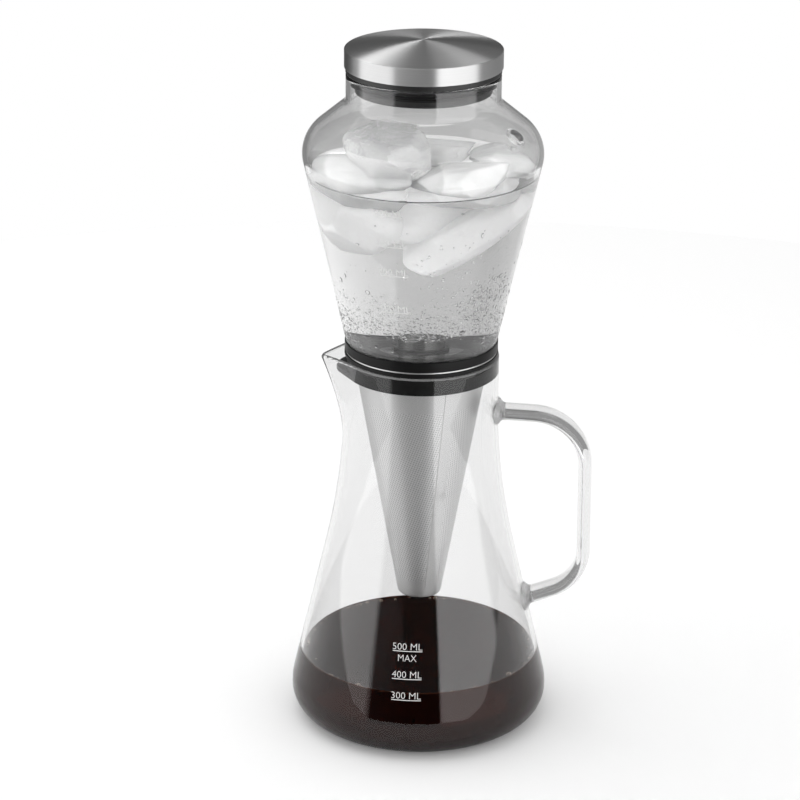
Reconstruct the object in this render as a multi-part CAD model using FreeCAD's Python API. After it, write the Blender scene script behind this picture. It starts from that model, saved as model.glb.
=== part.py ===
import FreeCAD, Part

import math
import os

from FreeCAD import Vector

# Cold brew dripper: a glass reservoir on a conical filter on a glass carafe.
# Millimetres, +Z up. The origin is on the vessel axis, on the plane that the carafe stands on.
# The spout points to -X and the handle to +X.

# Carafe, a blown glass vessel, wide at the base and drawn in to a straight neck.
CARAFE_WALL = 2.0
CARAFE_FLOOR = 3.0
CARAFE_FOOT_RADIUS = 61.5
CARAFE_FOOT_ROUND = 13.4
CARAFE_BELLY_RADIUS = 61.3
CARAFE_BELLY_HEIGHT = 17.5
CARAFE_BELLY_ROUND = 24.0
CARAFE_NECK_RADIUS = 36.5
CARAFE_WAIST_HEIGHT = 123.6
CARAFE_WAIST_ROUND = 300.0
CARAFE_RIM_HEIGHT = 183.0

# Pouring spout, a pointed fold in the neck, with a rim that dips towards its tip.
SPOUT_START_HEIGHT = 140.0
SPOUT_START_FLANK = 24.0
SPOUT_START_NOSE = 14.0
SPOUT_TIP_REACH = 47.6
SPOUT_TIP_DIP = 2.8
SPOUT_TIP_ROUND = 2.6
SPOUT_DIP_START = 20.0
SPOUT_SECTIONS = 6
SPOUT_KEEL_POWER = 1.6
SPOUT_START_SHARE = 0.75

# Handle, a flattened glass bar bent to a loop, fused to the carafe by two pads.
HANDLE_WIDTH = 16.0
HANDLE_THICKNESS = 6.4
HANDLE_ROOT_HEIGHT = 156.5
HANDLE_TOP_DROP = 2.4
HANDLE_REACH = 78.5
HANDLE_LEAN = 0.6
HANDLE_TOP_BEND = 25.0
HANDLE_LOW_BEND = 22.0
HANDLE_LOW_CORNER_HEIGHT = 71.5
HANDLE_LOW_SLOPE = 21.5
PAD_WIDTH = 20.0
PAD_HEIGHT = 12.5
PAD_STAND = 1.8
PAD_EDGE_ROUND = 0.8

# Filter, a perforated steel cone with a pressed bottom and a flat rim.
FILTER_SHEET = 0.5
FILTER_TOP_RADIUS = 32.4
FILTER_BOTTOM_RADIUS = 10.2
FILTER_BOTTOM_HEIGHT = 61.4
FILTER_CUP_DEPTH = 4.6
FILTER_CUP_ROUND = 1.6
FILTER_RIM_RADIUS = 35.6
FILTER_RIM_THICKNESS = 0.7

# Filter gasket, a silicone sleeve that hangs in the neck from a lip on the glass rim.
# A tongue on it reaches into the root of the spout.
GASKET_NECK_CLEARANCE = 0.3
GASKET_SLEEVE_DEPTH = 8.9
GASKET_LIP_RADIUS = 36.0
GASKET_LIP_THICKNESS = 2.0
TONGUE_REACH = 38.9
TONGUE_ROUND = 12.0
TONGUE_THICKNESS = 3.2

# Reservoir, a glass funnel with a straight neck, and its silicone foot collar.
RESERVOIR_WALL = 2.0
RESERVOIR_FLOOR = 2.6
RESERVOIR_FOOT_RADIUS = 34.7
RESERVOIR_FOOT_ROUND = 4.0
RESERVOIR_SHOULDER_RADIUS = 57.3
RESERVOIR_SHOULDER_RISE = 99.3
RESERVOIR_SHOULDER_ROUND = 17.0
RESERVOIR_NECK_RADIUS = 35.5
RESERVOIR_NECK_RISE = 117.3
RESERVOIR_NECK_ROUND = 4.5
RESERVOIR_HEIGHT = 130.7
COLLAR_RADIUS = 35.9
COLLAR_FLOOR = 1.9
COLLAR_RISE = 4.7
COLLAR_OPENING_RADIUS = 14.0
SPIGOT_CLEARANCE = 0.6
SPIGOT_WALL = 2.0
SPIGOT_DEPTH = 4.2

# Air vent, a small hole with a fire-rounded rim in the shoulder of the reservoir.
VENT_RADIUS = 3.3
VENT_LIP_RADIUS = 4.8
VENT_LIP_STAND = 0.8
VENT_DIRECTION = -24.5
VENT_SHOULDER_SHARE = 0.45

# Drip valve, clamped through a hole in the middle of the reservoir's floor.
VALVE_HOLE_RADIUS = 6.5
VALVE_SHANK_RADIUS = 6.2
VALVE_SHANK_LENGTH = 11.0
VALVE_HEAD_RADIUS = 8.0
VALVE_HEAD_HEIGHT = 6.0
VALVE_HEAD_ROUND = 0.6
VALVE_BORE_RADIUS = 3.2
VALVE_SEAT_RADIUS = 1.3
VALVE_SEAT_THICKNESS = 1.6
VALVE_WASHER_RADIUS = 9.4
VALVE_WASHER_THICKNESS = 1.2
VALVE_NUT_ACROSS_FLATS = 20.0
VALVE_NUT_HEIGHT = 4.0

# Drip tap, a needle screw with a ribbed knob and a drip tip. It turns in the valve's bore.
# Water passes the needle, runs round the relief and goes through the cross hole to the drip tip.
SPINDLE_CLEARANCE = 0.08
SPINDLE_RELIEF_RADIUS = 2.4
SPINDLE_RELIEF_LENGTH = 3.0
SPINDLE_CROSS_HOLE_RADIUS = 0.6
SPINDLE_KNOB_EMBED = 4.0
NEEDLE_LENGTH = 3.2
NEEDLE_TIP_RADIUS = 0.5
NEEDLE_SEAT_GAP = 0.4
ORING_SECTION = 1.0
ORING_DEPTH_IN_BORE = 3.5
KNOB_RADIUS = 9.0
KNOB_HEIGHT = 8.5
KNOB_GAP = 0.3
KNOB_RIBS = 18
KNOB_RIB_RADIUS = 0.7
TIP_RADIUS = 1.7
TIP_BORE_RADIUS = 0.8
TIP_LENGTH = 6.0
TIP_EMBED = 2.0

# Lid, a steel cap over a black plug with a two-lipped silicone ring.
CAP_RADIUS = 36.2
CAP_HEIGHT = 8.3
CAP_SHEET = 0.6
CAP_EDGE_ROUND = 0.5
CAP_CROWN_RISE = 4.2
CROWN_ARC_SHARE = 0.96
LINER_FLANGE_THICKNESS = 2.7
LINER_FLANGE_ROUND = 0.6
PLUG_RADIUS = 31.3
PLUG_DEPTH = 8.6
PLUG_WALL = 2.2
PLUG_EDGE_ROUND = 0.8
SEAL_GROOVE_DEPTH = 0.8
SEAL_HEIGHT = 5.0
SEAL_TOP_GAP = 0.6
SEAL_NECK_CLEARANCE = 0.2
SEAL_BODY_STAND = 0.5
SEAL_LIP_THICKNESS = 0.8

OVERSHOOT = 5.0
SAME_POINT = 1e-6

UP = Vector(0, 0, 1)
ORIGIN = Vector(0, 0, 0)

os.makedirs("parts", exist_ok=True)


def save(name, shape):
    """Writes one piece, as a single solid, to its own file."""
    solid = shape.Solids[0] if len(shape.Solids) == 1 else shape
    solid.exportStep("parts/" + name + ".step")


def rounded_outline(corners):
    """Closed wire in the XZ plane through corners (x, z, round), each turned into an arc of that radius."""
    edges = []
    starts = []
    ends = []
    count = len(corners)
    for i in range(count):
        before = Vector(corners[i - 1][0], 0, corners[i - 1][1])
        here = Vector(corners[i][0], 0, corners[i][1])
        after = Vector(corners[(i + 1) % count][0], 0, corners[(i + 1) % count][1])
        radius = corners[i][2]
        back = (before - here).normalize()
        forward = (after - here).normalize()
        if radius <= 0:
            starts.append(here)
            ends.append(here)
            edges.append(None)
            continue
        half = back.getAngle(forward) / 2
        reach = radius / math.tan(half)
        middle = here + (back + forward).normalize() * (radius / math.sin(half) - radius)
        first = here + back * reach
        last = here + forward * reach
        starts.append(first)
        ends.append(last)
        edges.append(Part.Arc(first, middle, last).toShape())
    run = []
    for i in range(count):
        if edges[i] is not None:
            run.append(edges[i])
        following = starts[(i + 1) % count]
        if (following - ends[i]).Length > SAME_POINT:
            run.append(Part.LineSegment(ends[i], following).toShape())
    return Part.Wire(run)


def lathe(corners):
    """Solid of revolution about the vessel axis from an outline of corners (radius, height, round)."""
    return Part.Face(rounded_outline(corners)).revolve(ORIGIN, UP, 360)


def ring(inner, outer, low, high):
    """Plain ring between two radii and two heights."""
    return lathe([(inner, low, 0), (outer, low, 0), (outer, high, 0), (inner, high, 0)])


def inset(corners, wall, floor):
    """Inner side of a vessel wall: an open run of corners moved inwards, with the first side moved up."""
    lines = []
    for i in range(len(corners) - 1):
        start = Vector(corners[i][0], 0, corners[i][1])
        end = Vector(corners[i + 1][0], 0, corners[i + 1][1])
        along = (end - start).normalize()
        inward = Vector(-along.z, 0, along.x)
        lines.append((start + inward * (floor if i == 0 else wall), along))
    moved = [(0, corners[0][1] + floor, 0)]
    for i in range(1, len(lines)):
        (a, u), (b, v) = lines[i - 1], lines[i]
        cross = u.x * v.z - u.z * v.x
        step = ((b.x - a.x) * v.z - (b.z - a.z) * v.x) / cross
        corner = a + u * step
        radius = corners[i][2] - wall if cross > 0 else corners[i][2] + wall
        moved.append((corner.x, corner.z, radius))
    last, along = lines[-1]
    top = last + along * ((corners[-1][1] - last.z) / along.z)
    moved.append((top.x, top.z, 0))
    return moved


def closed_to_axis(corners, extra):
    """Closes an open run of corners along the axis, with its last side carried on upwards by extra."""
    radius, height, _ = corners[-1]
    below_radius, below_height, _ = corners[-2]
    slope = (radius - below_radius) / (height - below_height)
    top = (radius + slope * extra, height + extra, 0)
    return corners[:-1] + [top, (0, height + extra, 0)]


def teardrop(radius, reach, tip_round, height):
    """Level outline of a round neck with a spout: a circle and a smaller tip circle joined by tangents."""
    centre = reach - tip_round
    swing = math.acos((radius - tip_round) / centre)
    side = Vector(-math.cos(swing), math.sin(swing), 0)
    other = Vector(side.x, -side.y, 0)
    lift = Vector(0, 0, height)
    tip_centre = Vector(-centre, 0, 0)
    a = side * radius + lift
    b = other * radius + lift
    c = tip_centre + other * tip_round + lift
    d = tip_centre + side * tip_round + lift
    return Part.Wire(
        [
            Part.Arc(a, Vector(radius, 0, height), b).toShape(),
            Part.LineSegment(b, c).toShape(),
            Part.Arc(c, Vector(-reach, 0, height), d).toShape(),
            Part.LineSegment(d, a).toShape(),
        ]
    )


def split_circle(radius, height):
    """Full circle in the same four parts as a teardrop, for the level where a spout starts."""

    def at(degrees):
        """Point of the circle in a direction."""
        turn = math.radians(degrees)
        return Vector(radius * math.cos(turn), radius * math.sin(turn), height)

    flank = SPOUT_START_FLANK
    nose = SPOUT_START_NOSE
    return Part.Wire(
        [
            Part.Arc(at(180 - flank), at(0), at(180 + flank)).toShape(),
            Part.Arc(at(180 + flank), at(180 + (flank + nose) / 2), at(180 + nose)).toShape(),
            Part.Arc(at(180 + nose), at(180), at(180 - nose)).toShape(),
            Part.Arc(at(180 - nose), at(180 - (flank + nose) / 2), at(180 - flank)).toShape(),
        ]
    )


# Carafe profile from the axis outwards and up to the height where the spout starts.
waist = [
    (0, 0, 0),
    (CARAFE_FOOT_RADIUS, 0, CARAFE_FOOT_ROUND),
    (CARAFE_BELLY_RADIUS, CARAFE_BELLY_HEIGHT, CARAFE_BELLY_ROUND),
    (CARAFE_NECK_RADIUS, CARAFE_WAIST_HEIGHT, CARAFE_WAIST_ROUND),
    (CARAFE_NECK_RADIUS, CARAFE_RIM_HEIGHT, 0),
]
waist_turn = math.atan2(
    CARAFE_BELLY_RADIUS - CARAFE_NECK_RADIUS, CARAFE_WAIST_HEIGHT - CARAFE_BELLY_HEIGHT
)
waist_top = CARAFE_WAIST_HEIGHT + CARAFE_WAIST_ROUND * math.tan(waist_turn / 2)


def neck_radius(height, depth=0):
    """Radius of the carafe's neck at a depth in its wall: straight, with the waist's arc below it."""
    below = max(0, waist_top - height)
    bend_radius = CARAFE_WAIST_ROUND + depth
    return CARAFE_NECK_RADIUS - depth + bend_radius - math.sqrt(bend_radius**2 - below**2)


neck_top = CARAFE_RIM_HEIGHT + OVERSHOOT
spout_rise = CARAFE_RIM_HEIGHT - SPOUT_TIP_DIP - SPOUT_START_HEIGHT


def spout_reach(height, depth=0):
    """Distance of the spout's keel from the axis at a height, on a skin at a depth in the wall."""
    swell = ((height - SPOUT_START_HEIGHT) / spout_rise) ** SPOUT_KEEL_POWER
    return neck_radius(height, depth) + (SPOUT_TIP_REACH - CARAFE_NECK_RADIUS) * swell


def neck_with_spout(depth):
    """Solid neck from the spout's start to above the rim, on a skin at a depth in the wall."""
    start_round = CARAFE_NECK_RADIUS * SPOUT_START_SHARE
    outlines = [split_circle(neck_radius(SPOUT_START_HEIGHT, depth), SPOUT_START_HEIGHT)]
    for i in range(1, SPOUT_SECTIONS + 1):
        height = SPOUT_START_HEIGHT + (neck_top - SPOUT_START_HEIGHT) * i / SPOUT_SECTIONS
        left = max(0, 1 - (height - SPOUT_START_HEIGHT) / spout_rise)
        tip_round = SPOUT_TIP_ROUND + (start_round - SPOUT_TIP_ROUND) * left - depth
        outlines.append(teardrop(neck_radius(height, depth), spout_reach(height, depth), tip_round, height))
    return Part.makeLoft(outlines, True, False)


def above_rim():
    """Everything over the rim: level all round, and curved down to the tip of the spout."""
    dip_length = SPOUT_TIP_REACH - SPOUT_DIP_START
    bend = (dip_length**2 + SPOUT_TIP_DIP**2) / (2 * SPOUT_TIP_DIP)
    far = -spout_reach(neck_top) - OVERSHOOT
    drop = bend - math.sqrt(bend**2 - (-far - SPOUT_DIP_START) ** 2)
    half_way = (far - SPOUT_DIP_START) / 2
    half_drop = bend - math.sqrt(bend**2 - (-half_way - SPOUT_DIP_START) ** 2)
    rim = CARAFE_RIM_HEIGHT
    start = Vector(-SPOUT_DIP_START, 0, rim)
    end = Vector(far, 0, rim - drop)
    lid_top = rim + 4 * OVERSHOOT
    right = SPOUT_TIP_REACH + OVERSHOOT
    outline = Part.Wire(
        [
            Part.Arc(end, Vector(half_way, 0, rim - half_drop), start).toShape(),
            Part.LineSegment(start, Vector(right, 0, rim)).toShape(),
            Part.LineSegment(Vector(right, 0, rim), Vector(right, 0, lid_top)).toShape(),
            Part.LineSegment(Vector(right, 0, lid_top), Vector(far, 0, lid_top)).toShape(),
            Part.LineSegment(Vector(far, 0, lid_top), end).toShape(),
        ]
    )
    depth = 2 * (SPOUT_TIP_REACH + OVERSHOOT)
    outline.translate(Vector(0, -depth / 2, 0))
    return Part.Face(outline).extrude(Vector(0, depth, 0))


wide = 2 * CARAFE_BELLY_RADIUS
spout_zone = Part.makeBox(
    2 * wide, 2 * wide, CARAFE_RIM_HEIGHT, Vector(-wide, -wide, SPOUT_START_HEIGHT)
)
carafe_outside = lathe(closed_to_axis(waist, OVERSHOOT)).cut(spout_zone).fuse(neck_with_spout(0))
carafe_inner_run = inset(waist, CARAFE_WALL, CARAFE_FLOOR)
carafe_inside = lathe(closed_to_axis(carafe_inner_run, OVERSHOOT)).cut(spout_zone)
carafe_inside = carafe_inside.fuse(neck_with_spout(CARAFE_WALL))
carafe_glass = carafe_outside.cut(carafe_inside).cut(above_rim())
save("carafe_glass", carafe_glass)

# Handle. Its centre line leaves the neck, turns down, leans out a little and comes back to the belly.
top_start = Vector(0, 0, HANDLE_ROOT_HEIGHT)
top_corner = Vector(HANDLE_REACH - HANDLE_LEAN, 0, HANDLE_ROOT_HEIGHT - HANDLE_TOP_DROP)
low_corner = Vector(HANDLE_REACH, 0, HANDLE_LOW_CORNER_HEIGHT)
low_tilt = math.radians(HANDLE_LOW_SLOPE)
low_way = Vector(-math.cos(low_tilt), 0, -math.sin(low_tilt))
top_way = (top_corner - top_start).normalize()


def belly_radius(height):
    """Outer radius of the carafe on the straight cone between belly and waist."""
    share = (height - CARAFE_BELLY_HEIGHT) / (CARAFE_WAIST_HEIGHT - CARAFE_BELLY_HEIGHT)
    return CARAFE_BELLY_RADIUS + (CARAFE_NECK_RADIUS - CARAFE_BELLY_RADIUS) * share


def glass_crossing():
    """Point where the lower run of the centre line meets the carafe's belly."""
    slope = (CARAFE_NECK_RADIUS - CARAFE_BELLY_RADIUS) / (CARAFE_WAIST_HEIGHT - CARAFE_BELLY_HEIGHT)
    gap = low_corner.x - belly_radius(low_corner.z)
    step = gap / (-low_way.x + slope * low_way.z)
    return low_corner + low_way * step


neck_meet = top_start + top_way * (neck_radius(HANDLE_ROOT_HEIGHT) / top_way.x)
belly_meet = glass_crossing()
top_pad_face = neck_meet + top_way * PAD_STAND
low_pad_face = belly_meet - low_way * PAD_STAND


def bend(corner, before, after, radius):
    """Arc of a radius in the corner between two runs of the centre line, with its two end points."""
    back = (before - corner).normalize()
    forward = (after - corner).normalize()
    half = back.getAngle(forward) / 2
    reach = radius / math.tan(half)
    middle = corner + (back + forward).normalize() * (radius / math.sin(half) - radius)
    first = corner + back * reach
    last = corner + forward * reach
    return first, last, Part.Arc(first, middle, last).toShape()


top_first, top_last, top_arc = bend(top_corner, top_pad_face, low_corner, HANDLE_TOP_BEND)
low_first, low_last, low_arc = bend(low_corner, top_corner, low_pad_face, HANDLE_LOW_BEND)
centre_line = Part.Wire(
    [
        Part.LineSegment(top_pad_face, top_first).toShape(),
        top_arc,
        Part.LineSegment(top_last, low_first).toShape(),
        low_arc,
        Part.LineSegment(low_last, low_pad_face).toShape(),
    ]
)


def oval(centre, way, width, thickness):
    """Elliptical outline square to a direction in the XZ plane, with its width along Y."""
    across = Vector(0, 1, 0)
    shape = Part.Ellipse(
        centre + across * (width / 2), centre + way.cross(across) * (thickness / 2), centre
    )
    return Part.Wire([shape.toShape()])


bar_end = oval(top_pad_face, top_way, HANDLE_WIDTH, HANDLE_THICKNESS)
save("handle", centre_line.makePipeShell([bar_end], True, False))


def weld_pad(face_centre, way):
    """Fused oval pad from inside the carafe's skin to the end face of the handle."""
    depth = PAD_STAND + PAD_WIDTH / 2
    blank = Part.Face(oval(face_centre - way * depth, way, PAD_WIDTH, PAD_HEIGHT))
    blank = blank.extrude(way * depth)
    front = max(blank.Edges, key=lambda edge: edge.CenterOfMass.dot(way))
    return blank.makeFillet(PAD_EDGE_ROUND, [front]).cut(carafe_outside)


save("weld_pad_upper", weld_pad(top_pad_face, top_way))
save("weld_pad_lower", weld_pad(low_pad_face, low_way * -1))

# Heights of the stack in the neck: glass rim, gasket lip, filter rim, reservoir collar.
lip_top = CARAFE_RIM_HEIGHT + GASKET_LIP_THICKNESS
filter_rim_top = lip_top + FILTER_RIM_THICKNESS
collar_seat = filter_rim_top + COLLAR_FLOOR
cup_top = FILTER_BOTTOM_HEIGHT + FILTER_CUP_DEPTH


def cone_radius(height):
    """Outer radius of the filter cone at a height."""
    share = (height - FILTER_BOTTOM_HEIGHT) / (lip_top - FILTER_BOTTOM_HEIGHT)
    return FILTER_BOTTOM_RADIUS + (FILTER_TOP_RADIUS - FILTER_BOTTOM_RADIUS) * share


# Filter pieces.
save(
    "filter_cone",
    lathe(
        [
            (cone_radius(cup_top) - FILTER_SHEET, cup_top, 0),
            (cone_radius(cup_top), cup_top, 0),
            (FILTER_TOP_RADIUS, lip_top, 0),
            (FILTER_TOP_RADIUS - FILTER_SHEET, lip_top, 0),
        ]
    ),
)
cup_run = [
    (0, FILTER_BOTTOM_HEIGHT, 0),
    (FILTER_BOTTOM_RADIUS, FILTER_BOTTOM_HEIGHT, FILTER_CUP_ROUND),
    (cone_radius(cup_top), cup_top, 0),
]
cup_hollow = [
    (0, FILTER_BOTTOM_HEIGHT + FILTER_SHEET, 0),
    (
        FILTER_BOTTOM_RADIUS - FILTER_SHEET,
        FILTER_BOTTOM_HEIGHT + FILTER_SHEET,
        FILTER_CUP_ROUND - FILTER_SHEET,
    ),
    (cone_radius(cup_top) - FILTER_SHEET, cup_top, 0),
    (0, cup_top, 0),
]
save("filter_cup", lathe(cup_run + [(0, cup_top, 0)]).cut(lathe(cup_hollow)))
save(
    "filter_rim",
    ring(FILTER_TOP_RADIUS - FILTER_SHEET, FILTER_RIM_RADIUS, lip_top, filter_rim_top),
)

# Filter gasket: sleeve, tongue and lip in one moulding, bored to the cone.
sleeve_radius = CARAFE_NECK_RADIUS - CARAFE_WALL - GASKET_NECK_CLEARANCE
sleeve_low = CARAFE_RIM_HEIGHT - GASKET_SLEEVE_DEPTH
tongue = Part.Face(teardrop(sleeve_radius, TONGUE_REACH, TONGUE_ROUND, sleeve_low))
tongue = tongue.extrude(UP * TONGUE_THICKNESS)
sleeve = Part.makeCylinder(sleeve_radius, lip_top - sleeve_low, Vector(0, 0, sleeve_low))
lip = Part.makeCylinder(GASKET_LIP_RADIUS, GASKET_LIP_THICKNESS, Vector(0, 0, CARAFE_RIM_HEIGHT))
cone_core = lathe(
    [
        (0, FILTER_BOTTOM_HEIGHT, 0),
        (FILTER_BOTTOM_RADIUS, FILTER_BOTTOM_HEIGHT, 0),
        (FILTER_TOP_RADIUS, lip_top, 0),
        (0, lip_top, 0),
    ]
)
save("filter_gasket", sleeve.fuse(tongue).fuse(lip).cut(cone_core))

# Reservoir profile from the axis outwards and up.
funnel = [
    (0, collar_seat, 0),
    (RESERVOIR_FOOT_RADIUS, collar_seat, RESERVOIR_FOOT_ROUND),
    (
        RESERVOIR_SHOULDER_RADIUS,
        collar_seat + RESERVOIR_SHOULDER_RISE,
        RESERVOIR_SHOULDER_ROUND,
    ),
    (RESERVOIR_NECK_RADIUS, collar_seat + RESERVOIR_NECK_RISE, RESERVOIR_NECK_ROUND),
    (RESERVOIR_NECK_RADIUS, collar_seat + RESERVOIR_HEIGHT, 0),
]
reservoir_top = collar_seat + RESERVOIR_HEIGHT
glass_floor = collar_seat + RESERVOIR_FLOOR
funnel_outside = lathe(closed_to_axis(funnel, 0))
funnel_inside = lathe(closed_to_axis(inset(funnel, RESERVOIR_WALL, RESERVOIR_FLOOR), OVERSHOOT))

# Air vent, square to the sloping shoulder.
shoulder = Vector(
    RESERVOIR_NECK_RADIUS - RESERVOIR_SHOULDER_RADIUS,
    0,
    RESERVOIR_NECK_RISE - RESERVOIR_SHOULDER_RISE,
)
shoulder_foot = Vector(RESERVOIR_SHOULDER_RADIUS, 0, collar_seat + RESERVOIR_SHOULDER_RISE)
vent_centre = shoulder_foot + shoulder * VENT_SHOULDER_SHARE
vent_way = Vector(shoulder.z, 0, -shoulder.x).normalize()


def vent_rod(radius, stand):
    """Cylinder through the shoulder's wall at the vent, standing out of the glass by stand."""
    depth = 2 * RESERVOIR_WALL + stand
    rod = Part.makeCylinder(radius, depth, vent_centre - vent_way * (depth - stand), vent_way)
    rod.rotate(ORIGIN, UP, VENT_DIRECTION)
    return rod


drilled = Part.makeCylinder(
    VALVE_HOLE_RADIUS, 3 * RESERVOIR_FLOOR, Vector(0, 0, collar_seat - RESERVOIR_FLOOR)
)
reservoir_glass = funnel_outside.fuse(vent_rod(VENT_LIP_RADIUS, VENT_LIP_STAND))
reservoir_glass = reservoir_glass.cut(funnel_inside).cut(drilled)
save("reservoir_glass", reservoir_glass.cut(vent_rod(VENT_RADIUS, VENT_LIP_STAND + OVERSHOOT)))

# Foot collar: a floor under the glass, a wall round its corner and a spigot inside the filter.
spigot_low = filter_rim_top - SPIGOT_DEPTH
spigot_radius = cone_radius(spigot_low) - FILTER_SHEET - SPIGOT_CLEARANCE
collar = lathe(
    [
        (COLLAR_OPENING_RADIUS, filter_rim_top, 0),
        (COLLAR_RADIUS, filter_rim_top, 0),
        (COLLAR_RADIUS, filter_rim_top + COLLAR_RISE, 0),
        (COLLAR_OPENING_RADIUS, filter_rim_top + COLLAR_RISE, 0),
    ]
).cut(funnel_outside)
spigot = ring(spigot_radius - SPIGOT_WALL, spigot_radius, spigot_low, filter_rim_top)
save("reservoir_collar", collar.fuse(spigot))

# Drip valve: washers, body and nut, from the inside of the reservoir down.
head_low = glass_floor + VALVE_WASHER_THICKNESS
head_top = head_low + VALVE_HEAD_HEIGHT
shank_low = head_low - VALVE_SHANK_LENGTH
nut_top = collar_seat - VALVE_WASHER_THICKNESS
seat_low = head_top - VALVE_SEAT_THICKNESS
save(
    "valve_washer_upper",
    ring(VALVE_SHANK_RADIUS, VALVE_WASHER_RADIUS, glass_floor, head_low),
)
save(
    "valve_washer_lower",
    ring(VALVE_SHANK_RADIUS, VALVE_WASHER_RADIUS, nut_top, collar_seat),
)
save(
    "valve_body",
    lathe(
        [
            (VALVE_BORE_RADIUS, shank_low, 0),
            (VALVE_SHANK_RADIUS, shank_low, 0),
            (VALVE_SHANK_RADIUS, head_low, 0),
            (VALVE_HEAD_RADIUS, head_low, 0),
            (VALVE_HEAD_RADIUS, head_top, VALVE_HEAD_ROUND),
            (VALVE_SEAT_RADIUS, head_top, 0),
            (VALVE_SEAT_RADIUS, seat_low, 0),
            (VALVE_BORE_RADIUS, seat_low, 0),
        ]
    ),
)
nut_corner = VALVE_NUT_ACROSS_FLATS / 2 / math.cos(math.pi / 6)
nut_points = []
for i in range(7):
    turn = math.radians(60 * i)
    nut_points.append(
        Vector(nut_corner * math.cos(turn), nut_corner * math.sin(turn), nut_top - VALVE_NUT_HEIGHT)
    )
nut = Part.Face(Part.makePolygon(nut_points)).extrude(UP * VALVE_NUT_HEIGHT)
nut_bore = Part.makeCylinder(
    VALVE_SHANK_RADIUS, VALVE_NUT_HEIGHT, Vector(0, 0, nut_top - VALVE_NUT_HEIGHT)
)
save("valve_nut", nut.cut(nut_bore))

# Drip tap: spindle with its needle, O-ring, knob and drip tip.
spindle_radius = VALVE_BORE_RADIUS - SPINDLE_CLEARANCE
needle_taper = (SPINDLE_RELIEF_RADIUS - NEEDLE_TIP_RADIUS) / NEEDLE_LENGTH
seat_crossing = VALVE_SEAT_RADIUS - NEEDLE_SEAT_GAP
needle_base = seat_low - (SPINDLE_RELIEF_RADIUS - seat_crossing) / needle_taper
relief_low = needle_base - SPINDLE_RELIEF_LENGTH
cross_hole_height = relief_low + SPINDLE_RELIEF_LENGTH / 2
knob_top = shank_low - KNOB_GAP
knob_low = knob_top - KNOB_HEIGHT
spindle_low = knob_top - SPINDLE_KNOB_EMBED
oring_height = shank_low + ORING_DEPTH_IN_BORE
groove_radius = spindle_radius - ORING_SECTION
spindle = lathe(
    [
        (0, spindle_low, 0),
        (spindle_radius, spindle_low, 0),
        (spindle_radius, oring_height - ORING_SECTION / 2, 0),
        (groove_radius, oring_height - ORING_SECTION / 2, 0),
        (groove_radius, oring_height + ORING_SECTION / 2, 0),
        (spindle_radius, oring_height + ORING_SECTION / 2, 0),
        (spindle_radius, relief_low, 0),
        (SPINDLE_RELIEF_RADIUS, relief_low, 0),
        (SPINDLE_RELIEF_RADIUS, needle_base, 0),
        (NEEDLE_TIP_RADIUS, needle_base + NEEDLE_LENGTH, 0),
        (0, needle_base + NEEDLE_LENGTH, 0),
    ]
)
drip_way = Part.makeCylinder(
    TIP_BORE_RADIUS, cross_hole_height - spindle_low, Vector(0, 0, spindle_low)
)
cross_hole = Part.makeCylinder(
    SPINDLE_CROSS_HOLE_RADIUS,
    2 * spindle_radius,
    Vector(-spindle_radius, 0, cross_hole_height),
    Vector(1, 0, 0),
)
save("tap_spindle", spindle.cut(drip_way).cut(cross_hole))
save(
    "tap_oring",
    Part.makeTorus(
        groove_radius + ORING_SECTION / 2, ORING_SECTION / 2, Vector(0, 0, oring_height)
    ),
)
knob = Part.makeCylinder(KNOB_RADIUS, KNOB_HEIGHT, Vector(0, 0, knob_low))
for i in range(KNOB_RIBS):
    turn = 2 * math.pi * i / KNOB_RIBS
    foot = Vector(KNOB_RADIUS * math.cos(turn), KNOB_RADIUS * math.sin(turn), knob_low)
    knob = knob.fuse(Part.makeCylinder(KNOB_RIB_RADIUS, KNOB_HEIGHT, foot))
socket = Part.makeCylinder(spindle_radius, SPINDLE_KNOB_EMBED, Vector(0, 0, spindle_low))
channel = Part.makeCylinder(TIP_BORE_RADIUS, KNOB_HEIGHT, Vector(0, 0, knob_low))
tip_hole = Part.makeCylinder(TIP_RADIUS, TIP_EMBED, Vector(0, 0, knob_low))
save("tap_knob", knob.cut(socket).cut(channel).cut(tip_hole).removeSplitter())
save(
    "drip_tip",
    ring(TIP_BORE_RADIUS, TIP_RADIUS, knob_low + TIP_EMBED - TIP_LENGTH, knob_low + TIP_EMBED),
)

# Lid: plug with its flange on the reservoir's rim, seal ring in a groove, and steel cap over the flange.
# The cap's top is a shallow dome, and the plug's roof follows it.


def crown(radius, top):
    """Corners of a shallow dome from the axis out to a radius, as curved as the cap's top.

    The arc's centre is on the axis. A short straight slope joins the arc to the last corner.
    """
    rise = CAP_CROWN_RISE * (radius / CAP_RADIUS) ** 2
    middle = radius * CROWN_ARC_SHARE / 2
    bend = middle / math.tan(math.atan2(rise, radius - middle) / 2)
    return [(0, top, 0), (middle, top, bend), (radius, top - rise, 0)]


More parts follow.
